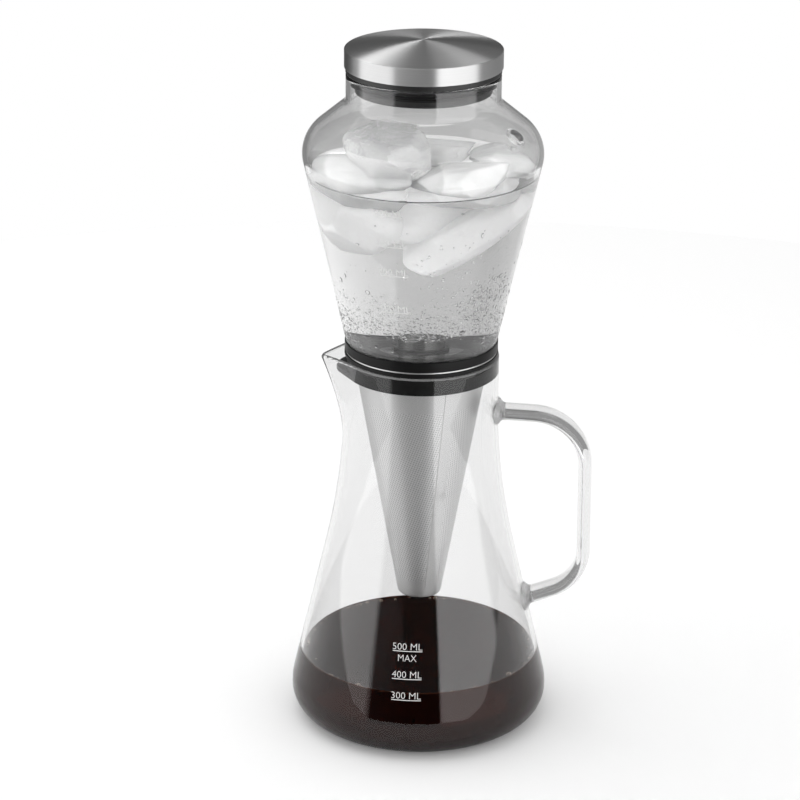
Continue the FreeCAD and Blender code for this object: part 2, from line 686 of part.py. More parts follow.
flange_low = reservoir_top
cap_low = flange_low + LINER_FLANGE_THICKNESS
cap_top = cap_low + CAP_HEIGHT
crown_top = cap_top + CAP_CROWN_RISE
plug_low = flange_low - PLUG_DEPTH
liner_radius = CAP_RADIUS - CAP_SHEET
seal_top = flange_low - SEAL_TOP_GAP
seal_low = seal_top - SEAL_HEIGHT
groove_floor = PLUG_RADIUS - SEAL_GROOVE_DEPTH
save(
    "lid_cap",
    lathe(
        crown(liner_radius, crown_top - CAP_SHEET)
        + [
            (liner_radius, cap_low, 0),
            (CAP_RADIUS, cap_low, 0),
            (CAP_RADIUS, cap_top, CAP_EDGE_ROUND),
        ]
        + crown(CAP_RADIUS, crown_top)[1::-1]
    ),
)
plug_inner = groove_floor - PLUG_WALL
save(
    "lid_plug",
    lathe(
        crown(plug_inner, crown_top - CAP_SHEET - PLUG_WALL)
        + [
            (plug_inner, plug_low, 0),
            (PLUG_RADIUS, plug_low, PLUG_EDGE_ROUND),
            (PLUG_RADIUS, seal_low, 0),
            (groove_floor, seal_low, 0),
            (groove_floor, seal_top, 0),
            (PLUG_RADIUS, seal_top, 0),
            (PLUG_RADIUS, flange_low, 0),
            (liner_radius, flange_low, LINER_FLANGE_ROUND),
        ]
        + crown(liner_radius, crown_top - CAP_SHEET)[::-1]
    ),
)
seal_radius = PLUG_RADIUS + SEAL_BODY_STAND
lip_radius = RESERVOIR_NECK_RADIUS - RESERVOIR_WALL - SEAL_NECK_CLEARANCE
lip_gap = (SEAL_HEIGHT - 2 * SEAL_LIP_THICKNESS) / 3
save(
    "lid_seal",
    lathe(
        [
            (groove_floor, seal_low, 0),
            (seal_radius, seal_low, 0),
            (seal_radius, seal_low + lip_gap, 0),
            (lip_radius, seal_low + lip_gap, 0),
            (lip_radius, seal_low + lip_gap + SEAL_LIP_THICKNESS, 0),
            (seal_radius, seal_low + lip_gap + SEAL_LIP_THICKNESS, 0),
            (seal_radius, seal_top - lip_gap - SEAL_LIP_THICKNESS, 0),
            (lip_radius, seal_top - lip_gap - SEAL_LIP_THICKNESS, 0),
            (lip_radius, seal_top - lip_gap, 0),
            (seal_radius, seal_top - lip_gap, 0),
            (seal_radius, seal_top, 0),
            (groove_floor, seal_top, 0),
        ]
    ),
)
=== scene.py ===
import functools
import math

import bmesh
import bpy
import numpy as np
from mathutils import Matrix, Vector


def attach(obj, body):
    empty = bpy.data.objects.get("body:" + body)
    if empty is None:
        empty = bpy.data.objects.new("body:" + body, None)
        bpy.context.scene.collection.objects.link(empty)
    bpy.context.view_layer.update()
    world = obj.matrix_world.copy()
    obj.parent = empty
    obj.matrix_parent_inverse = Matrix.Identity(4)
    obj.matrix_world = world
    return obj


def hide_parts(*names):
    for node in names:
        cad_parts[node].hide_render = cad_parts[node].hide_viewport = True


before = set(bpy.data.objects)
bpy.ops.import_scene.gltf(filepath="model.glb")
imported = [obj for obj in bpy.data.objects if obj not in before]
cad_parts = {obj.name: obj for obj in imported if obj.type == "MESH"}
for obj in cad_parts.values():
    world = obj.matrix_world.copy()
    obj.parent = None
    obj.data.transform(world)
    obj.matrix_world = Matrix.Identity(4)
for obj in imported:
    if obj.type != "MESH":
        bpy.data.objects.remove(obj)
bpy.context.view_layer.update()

scene = bpy.context.scene
scene.view_settings.view_transform = "Standard"
# Light crosses many glass, water and ice skins here, so its paths are longer than usual.
scene.cycles.max_bounces = 32
scene.cycles.transmission_bounces = 32
scene.cycles.glossy_bounces = 12

# Carafe. One blown vessel of borosilicate glass, drawn in to a straight neck whose rim is fire polished.
# A fold in the neck makes the spout, on the side away from the handle. Sizes are in millimetres.
MM = 0.001
CARAFE_WALL = 2.0
CARAFE_FLOOR = 3.0
CARAFE_FOOT_RADIUS = 61.5
CARAFE_FOOT_ROUND = 13.4
CARAFE_BELLY_RADIUS = 61.3
CARAFE_BELLY_HEIGHT = 17.5
CARAFE_BELLY_ROUND = 24.0
CARAFE_NECK_RADIUS = 36.5
CARAFE_WAIST_HEIGHT = 123.6
CARAFE_WAIST_ROUND = 300.0
CARAFE_RIM_HEIGHT = 183.0
CARAFE_COLUMNS = 256
TURNED_COLUMNS = 192
SPOUT_START_HEIGHT = 140.0
SPOUT_TIP_REACH = 47.6
SPOUT_TIP_DIP = 2.8
SPOUT_TIP_ROUND = 2.6
SPOUT_DIP_START = 20.0
SPOUT_KEEL_POWER = 1.6
SPOUT_START_ROUND = 27.4
SPOUT_CROWDING = 0.25
SPOUT_ROWS = 34
WELD_DECIMALS = 7


def linear(hex_colour):
    """Linear RGBA of an sRGB hex colour: each channel by the standard curve, with an opaque alpha."""
    values = [int(hex_colour[i : i + 2], 16) / 255 for i in (1, 3, 5)]
    return [v / 12.92 if v <= 0.04045 else ((v + 0.055) / 1.055) ** 2.4 for v in values] + [1.0]


def add_node(tree, kind, **given):
    """Adds a node to a tree, with its properties, then its sockets' values and links.

    A property has its own name, in small letters. A socket's name has a capital, with _ for a space, or is
    i0, i1 and so on for its number. It takes a plain value, a hex colour, another node's socket or a whole
    node, which stands for its first output.
    """
    node = tree.nodes.new("ShaderNode" + kind)
    for key, value in given.items():
        if key[0].islower() and not key[1:].isdigit():
            setattr(node, key, value)
            continue
        socket = node.inputs[int(key[1:]) if key[1:].isdigit() else key.replace("_", " ")]
        if isinstance(value, bpy.types.Node):
            value = value.outputs[0]
        if isinstance(value, bpy.types.NodeSocket):
            tree.links.new(value, socket)
        else:
            socket.default_value = linear(value) if isinstance(value, str) else value
    return node


def emptied(tree):
    """Clears a node tree, and gives add_node bound to it."""
    tree.nodes.clear()
    return functools.partial(add_node, tree)


def new_material(name):
    """A new node material, and add_node bound to its empty tree."""
    material = bpy.data.materials.new(name)
    material.use_nodes = True
    return material, emptied(material.node_tree)


def rounded_run(corners, arc_step=6.0, straight_step=6.0):
    """Points and outward normals along an open run of corners (radius, height, round).

    Each inner corner becomes an arc of its round, tangent to both sides, cut into steps of a few degrees.
    Straight stretches are cut into even steps. The normal is the way ahead, turned clockwise by a right
    angle, so it points out where the run goes from the axis outwards and up.
    """
    points = []
    normals = []
    start = np.array(corners[0][:2], float)
    for i in range(1, len(corners)):
        corner = np.array(corners[i][:2], float)
        before = np.array(corners[i - 1][:2], float)
        along = (corner - before) / np.linalg.norm(corner - before)
        normal = np.array([along[1], -along[0]])
        end = corner
        arc = None
        if i + 1 < len(corners) and corners[i][2] > 0:
            onward = np.array(corners[i + 1][:2], float) - corner
            onward /= np.linalg.norm(onward)
            side = np.sign(along[0] * onward[1] - along[1] * onward[0])
            swing = math.acos(np.clip(along @ onward, -1, 1))
            end = corner - along * corners[i][2] * math.tan(swing / 2)
            count = max(2, math.ceil(math.degrees(swing) / arc_step))
            angles = math.atan2(normal[1], normal[0]) + side * swing * np.linspace(0, 1, count + 1)
            arc_normals = np.stack([np.cos(angles), np.sin(angles)], 1)
            arc = end - normal * side * corners[i][2] + arc_normals * side * corners[i][2]
        count = max(1, math.ceil(np.linalg.norm(end - start) / straight_step))
        share = np.linspace(0, 1, count + 1)[:, None]
        points.append(start + (end - start) * share)
        normals.append(np.repeat(normal[None], count + 1, 0))
        start = end
        if arc is not None:
            points.append(arc[1:-1])
            normals.append(arc_normals[1:-1])
            start = arc[-1]
    return np.concatenate(points), np.concatenate(normals)


def cells(index, closed_along=False, closed_across=True):
    """Four corner numbers of every cell in a grid of point numbers, joined over its ends where closed."""
    if closed_along:
        index = np.concatenate([index, index[:1]], 0)
    if closed_across:
        index = np.concatenate([index, index[:, :1]], 1)
    return np.stack([index[:-1, :-1], index[:-1, 1:], index[1:, 1:], index[1:, :-1]], -1).reshape(-1, 4)


def numbered(grid, first=0):
    """Number of each point of a grid of points, counted on from first."""
    return first + np.arange(grid[..., 0].size).reshape(grid.shape[:-1])


def shell(name, points, faces, body, sharp=35.0):
    """Mesh object of points in millimetres and four-cornered faces, which rides on a body.

    Points that fall together, to a tenth of a micrometre, become one. That closes seams and poles, and a
    face that loses a corner by it becomes a triangle. Faces are turned outwards and shaded smooth, with a
    crease wherever two of them meet at a larger angle than sharp.
    """
    points, index = np.unique(np.round(points * MM, WELD_DECIMALS), axis=0, return_inverse=True)
    faces = index.reshape(-1)[faces]
    doubled = np.stack([faces[:, k] == faces[:, (k + 1) % 4] for k in range(4)])
    corners = faces[doubled.sum(0) == 0].tolist()
    for k in range(4):
        corners += np.delete(faces[(doubled.sum(0) == 1) & doubled[k]], k, 1).tolist()
    mesh = bpy.data.meshes.new(name)
    mesh.from_pydata(points.tolist(), [], corners)
    work = bmesh.new()
    work.from_mesh(mesh)
    bmesh.ops.recalc_face_normals(work, faces=work.faces)
    work.to_mesh(mesh)
    work.free()
    mesh.shade_smooth()
    mesh.set_sharp_from_angle(angle=math.radians(sharp))
    piece = bpy.data.objects.new(name, mesh)
    scene.collection.objects.link(piece)
    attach(piece, body)
    return piece


def skin(name, grid, body, closed_along=False, closed_across=True, sharp=35.0):
    """Mesh object over a grid of points: rows along a profile, columns across it."""
    faces = cells(numbered(grid), closed_along, closed_across)
    return shell(name, grid.reshape(-1, 3), faces, body, sharp)


def about_axis(reach, turn, height):
    """Points at a reach from the upright axis of the vessels, an angle round it and a height."""
    return np.stack(np.broadcast_arrays(reach * np.cos(turn), reach * np.sin(turn), height), -1)


def turned(profile, angles=np.linspace(0, 2 * np.pi, TURNED_COLUMNS, endpoint=False)):
    """Grid of a profile of (radius, height) turned about the axis to each angle."""
    return about_axis(profile[:, :1], angles, profile[:, 1:])


def half_round(outer_end, inner_end, count=8):
    """Rows of a half circle from an outer skin's last row over to an inner skin's last row."""
    middle = (outer_end + inner_end) / 2
    half = (outer_end - inner_end) / 2
    rise = np.linalg.norm(half, axis=-1, keepdims=True) * np.array([0, 0, 1])
    angles = np.linspace(0, np.pi, count + 1)[1:-1]
    return np.stack([middle + half * math.cos(t) + rise * math.sin(t) for t in angles])


def teardrop(angle, radius, reach, tip):
    """Distance of a spouted outline from the axis, at an angle counted from the spout's direction.

    The outline is a circle of the radius and a tip circle that ends at the reach, joined by tangents.
    Past the tangent's foot it is the circle, then the tangent line, and at the nose the tip circle.
    """
    centre = np.maximum(reach - tip, 1e-6)
    swing = np.arccos(np.clip((radius - tip) / centre, -1, 1))
    foot = np.arctan2(tip * np.sin(swing), centre + tip * np.cos(swing))
    away = np.abs(angle)
    line = radius / np.maximum(np.cos(swing - away), 0.1)
    nose = centre * np.cos(away) + np.sqrt(np.maximum(tip**2 - (centre * np.sin(away)) ** 2, 0))
    return np.where(away >= swing, radius, np.where(away >= foot, line, nose))


waist_turn = math.atan2(
    CARAFE_BELLY_RADIUS - CARAFE_NECK_RADIUS, CARAFE_WAIST_HEIGHT - CARAFE_BELLY_HEIGHT
)
waist_top = CARAFE_WAIST_HEIGHT + CARAFE_WAIST_ROUND * math.tan(waist_turn / 2)
spout_rise = CARAFE_RIM_HEIGHT - SPOUT_TIP_DIP - SPOUT_START_HEIGHT
dip_length = SPOUT_TIP_REACH - SPOUT_DIP_START
dip_bend = (dip_length**2 + SPOUT_TIP_DIP**2) / (2 * SPOUT_TIP_DIP)


def neck_skin(height, angle, depth=0.0):
    """Point of the neck at a depth in its wall: the waist's arc or the straight neck, with the spout.

    The spout's reach grows with a power of the height over its start, and its tip circle shrinks evenly.
    """
    bend = CARAFE_WAIST_ROUND + depth
    radius = CARAFE_NECK_RADIUS - depth + bend - np.sqrt(bend**2 - np.maximum(0, waist_top - height) ** 2)
    rise = np.maximum(0, (height - SPOUT_START_HEIGHT) / spout_rise)
    reach = radius + (SPOUT_TIP_REACH - CARAFE_NECK_RADIUS) * rise**SPOUT_KEEL_POWER
    tip = SPOUT_TIP_ROUND + (SPOUT_START_ROUND - SPOUT_TIP_ROUND) * np.maximum(0, 1 - rise) - depth
    distance = teardrop(angle, radius, reach, tip)
    return about_axis(-distance, angle, height)


def rim_foot(towards_spout):
    """Height where the wall passes into the round rim: level, then down an arc to the spout's tip."""
    past_start = np.maximum(0, towards_spout - SPOUT_DIP_START)
    return CARAFE_RIM_HEIGHT - dip_bend + np.sqrt(dip_bend**2 - past_start**2) - CARAFE_WALL / 2


# Columns stand closer together at the spout than on the far side.
share = np.linspace(-1, 1, CARAFE_COLUMNS, endpoint=False)
spout_angles = np.pi * share * (SPOUT_CROWDING + (1 - SPOUT_CROWDING) * share**2)
carafe_corners = [
    (0, 0, 0),
    (CARAFE_FOOT_RADIUS, 0, CARAFE_FOOT_ROUND),
    (CARAFE_BELLY_RADIUS, CARAFE_BELLY_HEIGHT, CARAFE_BELLY_ROUND),
    (CARAFE_NECK_RADIUS, CARAFE_WAIST_HEIGHT, CARAFE_WAIST_ROUND),
    (CARAFE_NECK_RADIUS, CARAFE_RIM_HEIGHT, 0),
]
carafe_outer, carafe_normals = rounded_run(carafe_corners, arc_step=2.0)
foot_share = np.clip(carafe_outer[:, 1:] / CARAFE_BELLY_HEIGHT, 0, 1)
carafe_inner = carafe_outer - carafe_normals * (CARAFE_FLOOR + (CARAFE_WALL - CARAFE_FLOOR) * foot_share)
belly = carafe_outer[:, 1] < SPOUT_START_HEIGHT - 1
rim_place = neck_skin(np.full(CARAFE_COLUMNS, CARAFE_RIM_HEIGHT), spout_angles, CARAFE_WALL / 2)
rim_height = rim_foot(-rim_place[:, 0])
rise_share = np.linspace(0, 1, SPOUT_ROWS)[:, None]
neck_heights = SPOUT_START_HEIGHT + (rim_height - SPOUT_START_HEIGHT) * rise_share
neck_outer = neck_skin(neck_heights, spout_angles)
neck_inner = neck_skin(neck_heights, spout_angles, CARAFE_WALL)
carafe_glass = skin(
    "carafe_vessel",
    np.concatenate(
        [
            turned(carafe_outer[belly], spout_angles + np.pi),
            neck_outer,
            half_round(neck_outer[-1], neck_inner[-1]),
            neck_inner[::-1],
            turned(carafe_inner[belly][::-1], spout_angles + np.pi),
        ]
    ),
    "carafe",
)
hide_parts("carafe_glass")

# Borosilicate glass, blown and fire polished: clear and hard, with slow waves in its surface that bend
# reflections a little.
GLASS_IOR = 1.474
GLASS_WAVE = 22.0
PALE_GLASS_WAVE = 1.5
glass, node = new_material("borosilicate_glass")
place = node("TexCoord").outputs["Object"]
waves = node("TexNoise", Vector=place, Scale=1 / (GLASS_WAVE * MM), Detail=1.0)
ripple = node("Bump", Height=waves, Strength=0.05, Distance=0.5 * MM)
shader = node(
    "BsdfPrincipled", Base_Color="#FBFBFB", Roughness=0.0, IOR=GLASS_IOR, Transmission_Weight=1.0,
    Normal=ripple,
)
node("OutputMaterial", Surface=shader)
carafe_glass.data.materials.append(glass)


def face_places(piece):
    """Middle of each face of a piece, in millimetres."""
    places = np.empty(3 * len(piece.data.polygons), np.float32)
    piece.data.polygons.foreach_get("center", places)
    return places.reshape(-1, 3) / MM


def second_material(piece, chosen, material):
    """Gives the chosen faces of a piece a second material."""
    piece.data.materials.append(material)
    piece.data.polygons.foreach_set("material_index", chosen.astype(np.int32))


# The same glass where the flame has worked it twice, at rims, holes and welds, with fine waves in its
# surface.
# Part of it is made a pale diffuse white: a painted highlight for the glints these edges catch, so they read
# pale.
pale_highlight_glass, node = new_material("pale_glass_painted_highlight")
place = node("TexCoord").outputs["Object"]
waves = node("TexNoise", Vector=place, Scale=1 / (PALE_GLASS_WAVE * MM), Detail=2.0)
tone = node("MixRGB", Fac=waves, Color1="#E6E6E6", Color2="#FAFAFA")
ripple = node("Bump", Height=waves, Strength=0.3, Distance=0.2 * MM)
shader = node(
    "BsdfPrincipled", Base_Color=tone, Roughness=0.06, IOR=GLASS_IOR, Transmission_Weight=0.8,
    Normal=ripple,
)
node("OutputMaterial", Surface=shader)
places = face_places(carafe_glass)
# Above the rim's foot the carafe takes the pale glass with its painted highlight.
second_material(carafe_glass, places[:, 2] > rim_foot(-places[:, 0]), pale_highlight_glass)

# Handle. A flattened bar of the same glass, bent hot to a loop, whose ends are melted on to the neck and
# the belly in two oval pads. Bar and pads are one piece of glass.
HANDLE_WIDTH = 16.0
HANDLE_THICKNESS = 6.4
HANDLE_ROOT_HEIGHT = 156.5
HANDLE_TOP_DROP = 2.4
HANDLE_REACH = 78.5
HANDLE_LEAN = 0.6
HANDLE_TOP_BEND = 25.0
HANDLE_LOW_BEND = 22.0
HANDLE_LOW_CORNER_HEIGHT = 71.5
HANDLE_LOW_SLOPE = 21.5
HANDLE_ROOT_RUN = 10.0
HANDLE_ROOT_DROP_SHARE = 0.35
HANDLE_LOW_RUN = 60.0
PAD_WIDTH = 20.0
PAD_HEIGHT = 12.5
PAD_STAND = 1.7
PAD_BLEND = 0.45
PAD_FOLLOW = 6.0
WALL_EMBED = 0.3
HANDLE_COLUMNS = 64
NEWTON_STEP = 0.01
NEWTON_ROUNDS = 12


def radius_at(outline, height):
    """Radius of an outline of (radius, height) at a height, straight between its points."""
    return np.interp(height, outline[:, 1], outline[:, 0])


def off_carafe(point):
    """How far points stand off the carafe's outer skin: distance from the axis less its radius there."""
    return np.hypot(point[..., 0], point[..., 1]) - radius_at(carafe_outer, point[..., 2])


def belly_meeting(start, way):
    """Where lines from points outside the carafe, all in one direction, meet its outer skin.

    Newton's steps: the distance off the skin over the rate at which it changes along the line.
    """
    point = start.copy()
    for _ in range(NEWTON_ROUNDS):
        gap = off_carafe(point)
        next_gap = off_carafe(point + way * NEWTON_STEP)
        point -= way * (gap / ((next_gap - gap) / NEWTON_STEP))[..., None]
    return point


def run_length(line):
    """Length along a line of points, up to each of them."""
    return np.r_[0, np.cumsum(np.linalg.norm(np.diff(line, axis=0), axis=1))]


low_tilt = math.radians(HANDLE_LOW_SLOPE)
handle_line, handle_normals = rounded_run(
    [
        (
            CARAFE_NECK_RADIUS - HANDLE_ROOT_RUN,
            HANDLE_ROOT_HEIGHT - HANDLE_TOP_DROP * HANDLE_ROOT_DROP_SHARE,
            0,
        ),
        (HANDLE_REACH - HANDLE_LEAN, HANDLE_ROOT_HEIGHT - HANDLE_TOP_DROP, HANDLE_TOP_BEND),
        (HANDLE_REACH, HANDLE_LOW_CORNER_HEIGHT, HANDLE_LOW_BEND),
        (
            HANDLE_REACH - HANDLE_LOW_RUN * math.cos(low_tilt),
            HANDLE_LOW_CORNER_HEIGHT - HANDLE_LOW_RUN * math.sin(low_tilt),
            0,
        ),
    ],
    arc_step=3.0,
    straight_step=0.5,
)
outside = handle_line[:, 0] > radius_at(carafe_outer, handle_line[:, 1]) - WALL_EMBED
handle_line = handle_line[outside]
handle_normals = handle_normals[outside]
travelled = run_length(handle_line)
from_end = np.minimum(travelled, travelled[-1] - travelled)[:, None]
spread = 1 / (1 + np.exp((from_end - PAD_STAND) / PAD_BLEND))
around = np.linspace(0, 2 * np.pi, HANDLE_COLUMNS, endpoint=False)
half_width = (HANDLE_WIDTH + (PAD_WIDTH - HANDLE_WIDTH) * spread) / 2
half_height = (HANDLE_THICKNESS + (PAD_HEIGHT - HANDLE_THICKNESS) * spread) / 2
across = half_height * np.sin(around)
bar = np.stack(
    [
        handle_line[:, :1] + handle_normals[:, :1] * across,
        half_width * np.cos(around),
        handle_line[:, 1:] + handle_normals[:, 1:] * across,
    ],
    -1,
)
# Near each end the sections bend from flat to the curve of the wall that they are melted on to.
for end, inward in ((0, handle_line[0] - handle_line[1]), (-1, handle_line[-1] - handle_line[-2])):
    way = np.array([inward[0], 0, inward[1]]) / np.linalg.norm(inward)
    off_end = np.abs(travelled - travelled[end])
    near = np.flatnonzero(off_end < PAD_FOLLOW)
    off_end = off_end[near][:, None]
    follow = np.cos(np.pi / 2 * off_end / PAD_FOLLOW) ** 2
    depth = (belly_meeting(bar[near], way) - bar[near]) @ way
    bar[near] += way * ((depth - off_end + WALL_EMBED) * follow)[..., None]
first_cap, last_cap = (np.repeat(bar[[end]].mean(1, keepdims=True), HANDLE_COLUMNS, 1) for end in (0, -1))
handle = skin("handle_bar", np.concatenate([first_cap, bar, last_cap]), "carafe", sharp=80.0)
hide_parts("handle", "weld_pad_upper", "weld_pad_lower")
handle.data.materials.append(glass)
# The pads at the bar's ends take the pale glass with its painted highlight.
second_material(handle, off_carafe(face_places(handle)) < 2 * PAD_STAND, pale_highlight_glass)

# Fill marks of the carafe. White ceramic ink, screen printed on the outside of the belly and fired on:
# plain numbers in millilitres, each with a line under it.
INK_STAND = 0.06
INK_THICKNESS = 0.05
INK_THINNING = -0.012
INK_SPECK = 0.6
UNDERLINE_GAP = 0.45
UNDERLINE_THICKNESS = 0.35
UNDERLINE_COLUMNS = 13
CARAFE_MARK_BEARING = -90.7
CARAFE_MARK_LETTER = 3.05
CARAFE_MARKS = (("500 ML", 53.9, 14.0), ("MAX", 48.6, 8.68), ("400 ML", 40.9, 14.0), ("300 ML", 31.1, 14.0))

ink, node = new_material("fired_white_ink")
place = node("TexCoord").outputs["Object"]
speck = node("TexNoise", Vector=place, Scale=1 / (INK_SPECK * MM), Detail=2.0)
tone = node("ValToRGB", Fac=speck)
tone.color_ramp.elements[0].color = linear("#D9D9D8")
tone.color_ramp.elements[1].color = linear("#F5F5F4")
shader = node("BsdfPrincipled", Base_Color=tone, Roughness=0.45)
node("OutputMaterial", Surface=shader)


def mark(vessel, words, height, width, letter, bearing, wall, underlined=True):
    """One printed mark: flat lettering set to a width and letter height, then laid round the wall.

    Across the letters the place goes round the axis, up the letters it goes up the wall, and every point
    stands off the glass by the ink's own height. The line under it is a strip laid the same way.
    """
    name = f"{vessel}_mark_{words.replace(' ', '_').lower()}"
    curve = bpy.data.curves.new(name, "FONT")
    curve.body = words
    curve.extrude = 0.5
    curve.offset = INK_THINNING
    curve.resolution_u = 3
    draft = bpy.data.objects.new(name + "_draft", curve)
    scene.collection.objects.link(draft)
    mesh = bpy.data.meshes.new_from_object(draft.evaluated_get(bpy.context.evaluated_depsgraph_get()))
    bpy.data.objects.remove(draft)
    bpy.data.curves.remove(curve)
    flat = np.empty(len(mesh.vertices) * 3)
    mesh.vertices.foreach_get("co", flat)
    flat = flat.reshape(-1, 3)
    low = flat.min(0)
    size = np.ptp(flat, 0)
    flat = (flat - low - size * np.array([0.5, 0, 0])) / size * np.array([width, letter, INK_THICKNESS])
    faces = [tuple(p.vertices) for p in mesh.polygons]
    if underlined:
        line = np.empty((4, UNDERLINE_COLUMNS, 3))
        line[..., 0] = np.linspace(-width / 2, width / 2, UNDERLINE_COLUMNS)
        line[..., 1] = -UNDERLINE_GAP - UNDERLINE_THICKNESS * np.array([0, 1, 1, 0])[:, None]
        line[..., 2] = INK_THICKNESS * np.array([0, 0, 1, 1])[:, None]
        index = numbered(line, len(flat))
        flat = np.concatenate([flat, line.reshape(-1, 3)])
        faces += [tuple(f) for f in cells(index, True, False).tolist()]
        faces += [tuple(index[::-1, 0]), tuple(index[:, -1])]
    level = height + flat[:, 1]
    distance = radius_at(wall, level) + INK_STAND + flat[:, 2]
    points = about_axis(distance, math.radians(bearing) + flat[:, 0] / distance, level) * MM
    done = bpy.data.meshes.new(name)
    done.from_pydata(points.tolist(), [], faces)
    work = bmesh.new()
    work.from_mesh(done)
    bmesh.ops.remove_doubles(work, verts=work.verts, dist=1e-6)
    bmesh.ops.recalc_face_normals(work, faces=work.faces)
    work.to_mesh(done)
    work.free()
    piece = bpy.data.objects.new(name, done)
    scene.collection.objects.link(piece)
    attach(piece, vessel)
    piece.data.materials.append(ink)


for words, height, width in CARAFE_MARKS:
    mark(
        "carafe", words, height, width, CARAFE_MARK_LETTER, CARAFE_MARK_BEARING, carafe_outer, words != "MAX"
    )

# Coffee. Cold brew at rest in the carafe: it wets the wall, climbs it a little in a thin amber edge, and
# carries some bubbles at its rim.
COFFEE_HEIGHT = 32.2
COFFEE_CREEP = 1.1
COFFEE_CREEP_WIDTH = 0.8
COFFEE_FILM = (0.35, 1.0)
COFFEE_CLOUD = 14.0
CREEP_STEPS = (0, 0.1, 0.25, 0.5, 0.8, 1.2, 1.7, 2.4, 3.5, 6)
LIQUID_OVERLAP = 0.15
FOOT_OVERLAP = 1.55
FOOT_OVERLAP_HEIGHT = 28.0


def still_surface(edge, height, creep, creep_width, inset):
    """Outline of a still liquid, inwards from its edge: level, with a climb at the wall.

    The climb falls off by an exponential of the distance from the wall over the creep's width.
    """
    return np.stack([edge - inset, height + creep * np.exp(-inset / creep_width)], 1)


# The thick glass of the foot magnifies the coffee out to the wall's face, so low down its skin lies deeper
# in the wall. Elsewhere it overlaps the glass just enough to leave no film of air.
nearness = np.clip(1 - carafe_inner[:, 1:] / FOOT_OVERLAP_HEIGHT, 0, 1)
foot_overlap = FOOT_OVERLAP * nearness**2 * (3 - 2 * nearness)
coffee_wall = carafe_inner + carafe_normals * (LIQUID_OVERLAP + foot_overlap)
coffee_top = COFFEE_HEIGHT + COFFEE_CREEP
under = coffee_wall[coffee_wall[:, 1] < coffee_top]
under[0, 0] = 0
coffee_edge = radius_at(coffee_wall[coffee_wall[:, 0] > CARAFE_NECK_RADIUS], coffee_top)
inset = np.r_[CREEP_STEPS, 10:60:5, coffee_edge]
surface = still_surface(coffee_edge, COFFEE_HEIGHT, COFFEE_CREEP, COFFEE_CREEP_WIDTH, inset)
coffee = skin("coffee", turned(np.concatenate([under, surface])), "carafe", sharp=60.0)

# Brewed coffee, still: nearly black, mirror smooth on top, and brown only where it is a film on the wall.
brew, node = new_material("brewed_coffee")
place = node("TexCoord").outputs["Object"]
level = node("SeparateXYZ", Vector=place)
film = node(
    "MapRange", Value=level.outputs["Z"], From_Min=(COFFEE_HEIGHT + COFFEE_FILM[0]) * MM,
    From_Max=(COFFEE_HEIGHT + COFFEE_FILM[1]) * MM,
)
cloud = node("TexNoise", Vector=place, Scale=1 / (COFFEE_CLOUD * MM), Detail=2.0)
dark = node("MixRGB", Fac=cloud, Color1="#090100", Color2="#100201")
tone = node("MixRGB", Fac=film, Color1=dark, Color2="#2A150C")
shader = node(
    "BsdfPrincipled", Base_Color=tone, Roughness=0.02, IOR=1.34, Specular_IOR_Level=0.2,
    Specular_Tint="#FF8A6C",
)
node("OutputMaterial", Surface=shader)
coffee.data.materials.append(brew)


def ball(rows, columns):
    """Unit directions over a ball: rows from pole to pole and columns round it."""
    tilt = np.linspace(0, np.pi, rows + 1)[:, None]
    return about_axis(np.sin(tilt), np.linspace(0, 2 * np.pi, columns, endpoint=False), np.cos(tilt))


def beads(name, centres, radii, body, axes=None, rows=5, columns=8):
    """Many small beads in one mesh: a coarse ball, stretched along three axes if given, at each centre."""
    round_bead = ball(rows, columns)
    shape = round_bead[None] if axes is None else np.einsum("rci,nij->nrcj", round_bead, axes)
    points = centres[:, None, None, :] + shape * radii[:, None, None, None]
    faces = np.concatenate([cells(bead) for bead in numbered(points)])
    return shell(name, points.reshape(-1, 3), faces, body, sharp=180.0)


# Bubbles at the rim of the coffee, most of them under a millimetre: thin shells, painted pale where seen
# edge on, a painted highlight for their bright rings.
FOAM_BUBBLES = 150
FOAM_SMALLEST = 0.2
FOAM_SIZES = (2.0, 0.16)
FOAM_OFF_WALL = 0.2
FOAM_DRIFT = 0.6
dice = np.random.default_rng(7)
bubble_turn = np.radians(dice.uniform(0, 360, FOAM_BUBBLES))
bubble_size = dice.gamma(*FOAM_SIZES, FOAM_BUBBLES) + FOAM_SMALLEST
bubble_reach = coffee_edge - FOAM_OFF_WALL - bubble_size - dice.exponential(FOAM_DRIFT, FOAM_BUBBLES)
foam = beads("coffee_bubbles", about_axis(bubble_reach, bubble_turn, COFFEE_HEIGHT), bubble_size, "carafe")
foam_skin, node = new_material("coffee_bubble_painted_rim")
# Painted highlight: dark where the bubble faces the view, pale towards its edge, by the angle of view.
rim = node("LayerWeight", Blend=0.35)
tone = node("MixRGB", Fac=rim.outputs["Facing"], Color1="#1A0E08", Color2="#C9B8A6")
shader = node("BsdfPrincipled", Base_Color=tone, Roughness=0.1, IOR=1.34)
node("OutputMaterial", Surface=shader)
foam.data.materials.append(foam_skin)

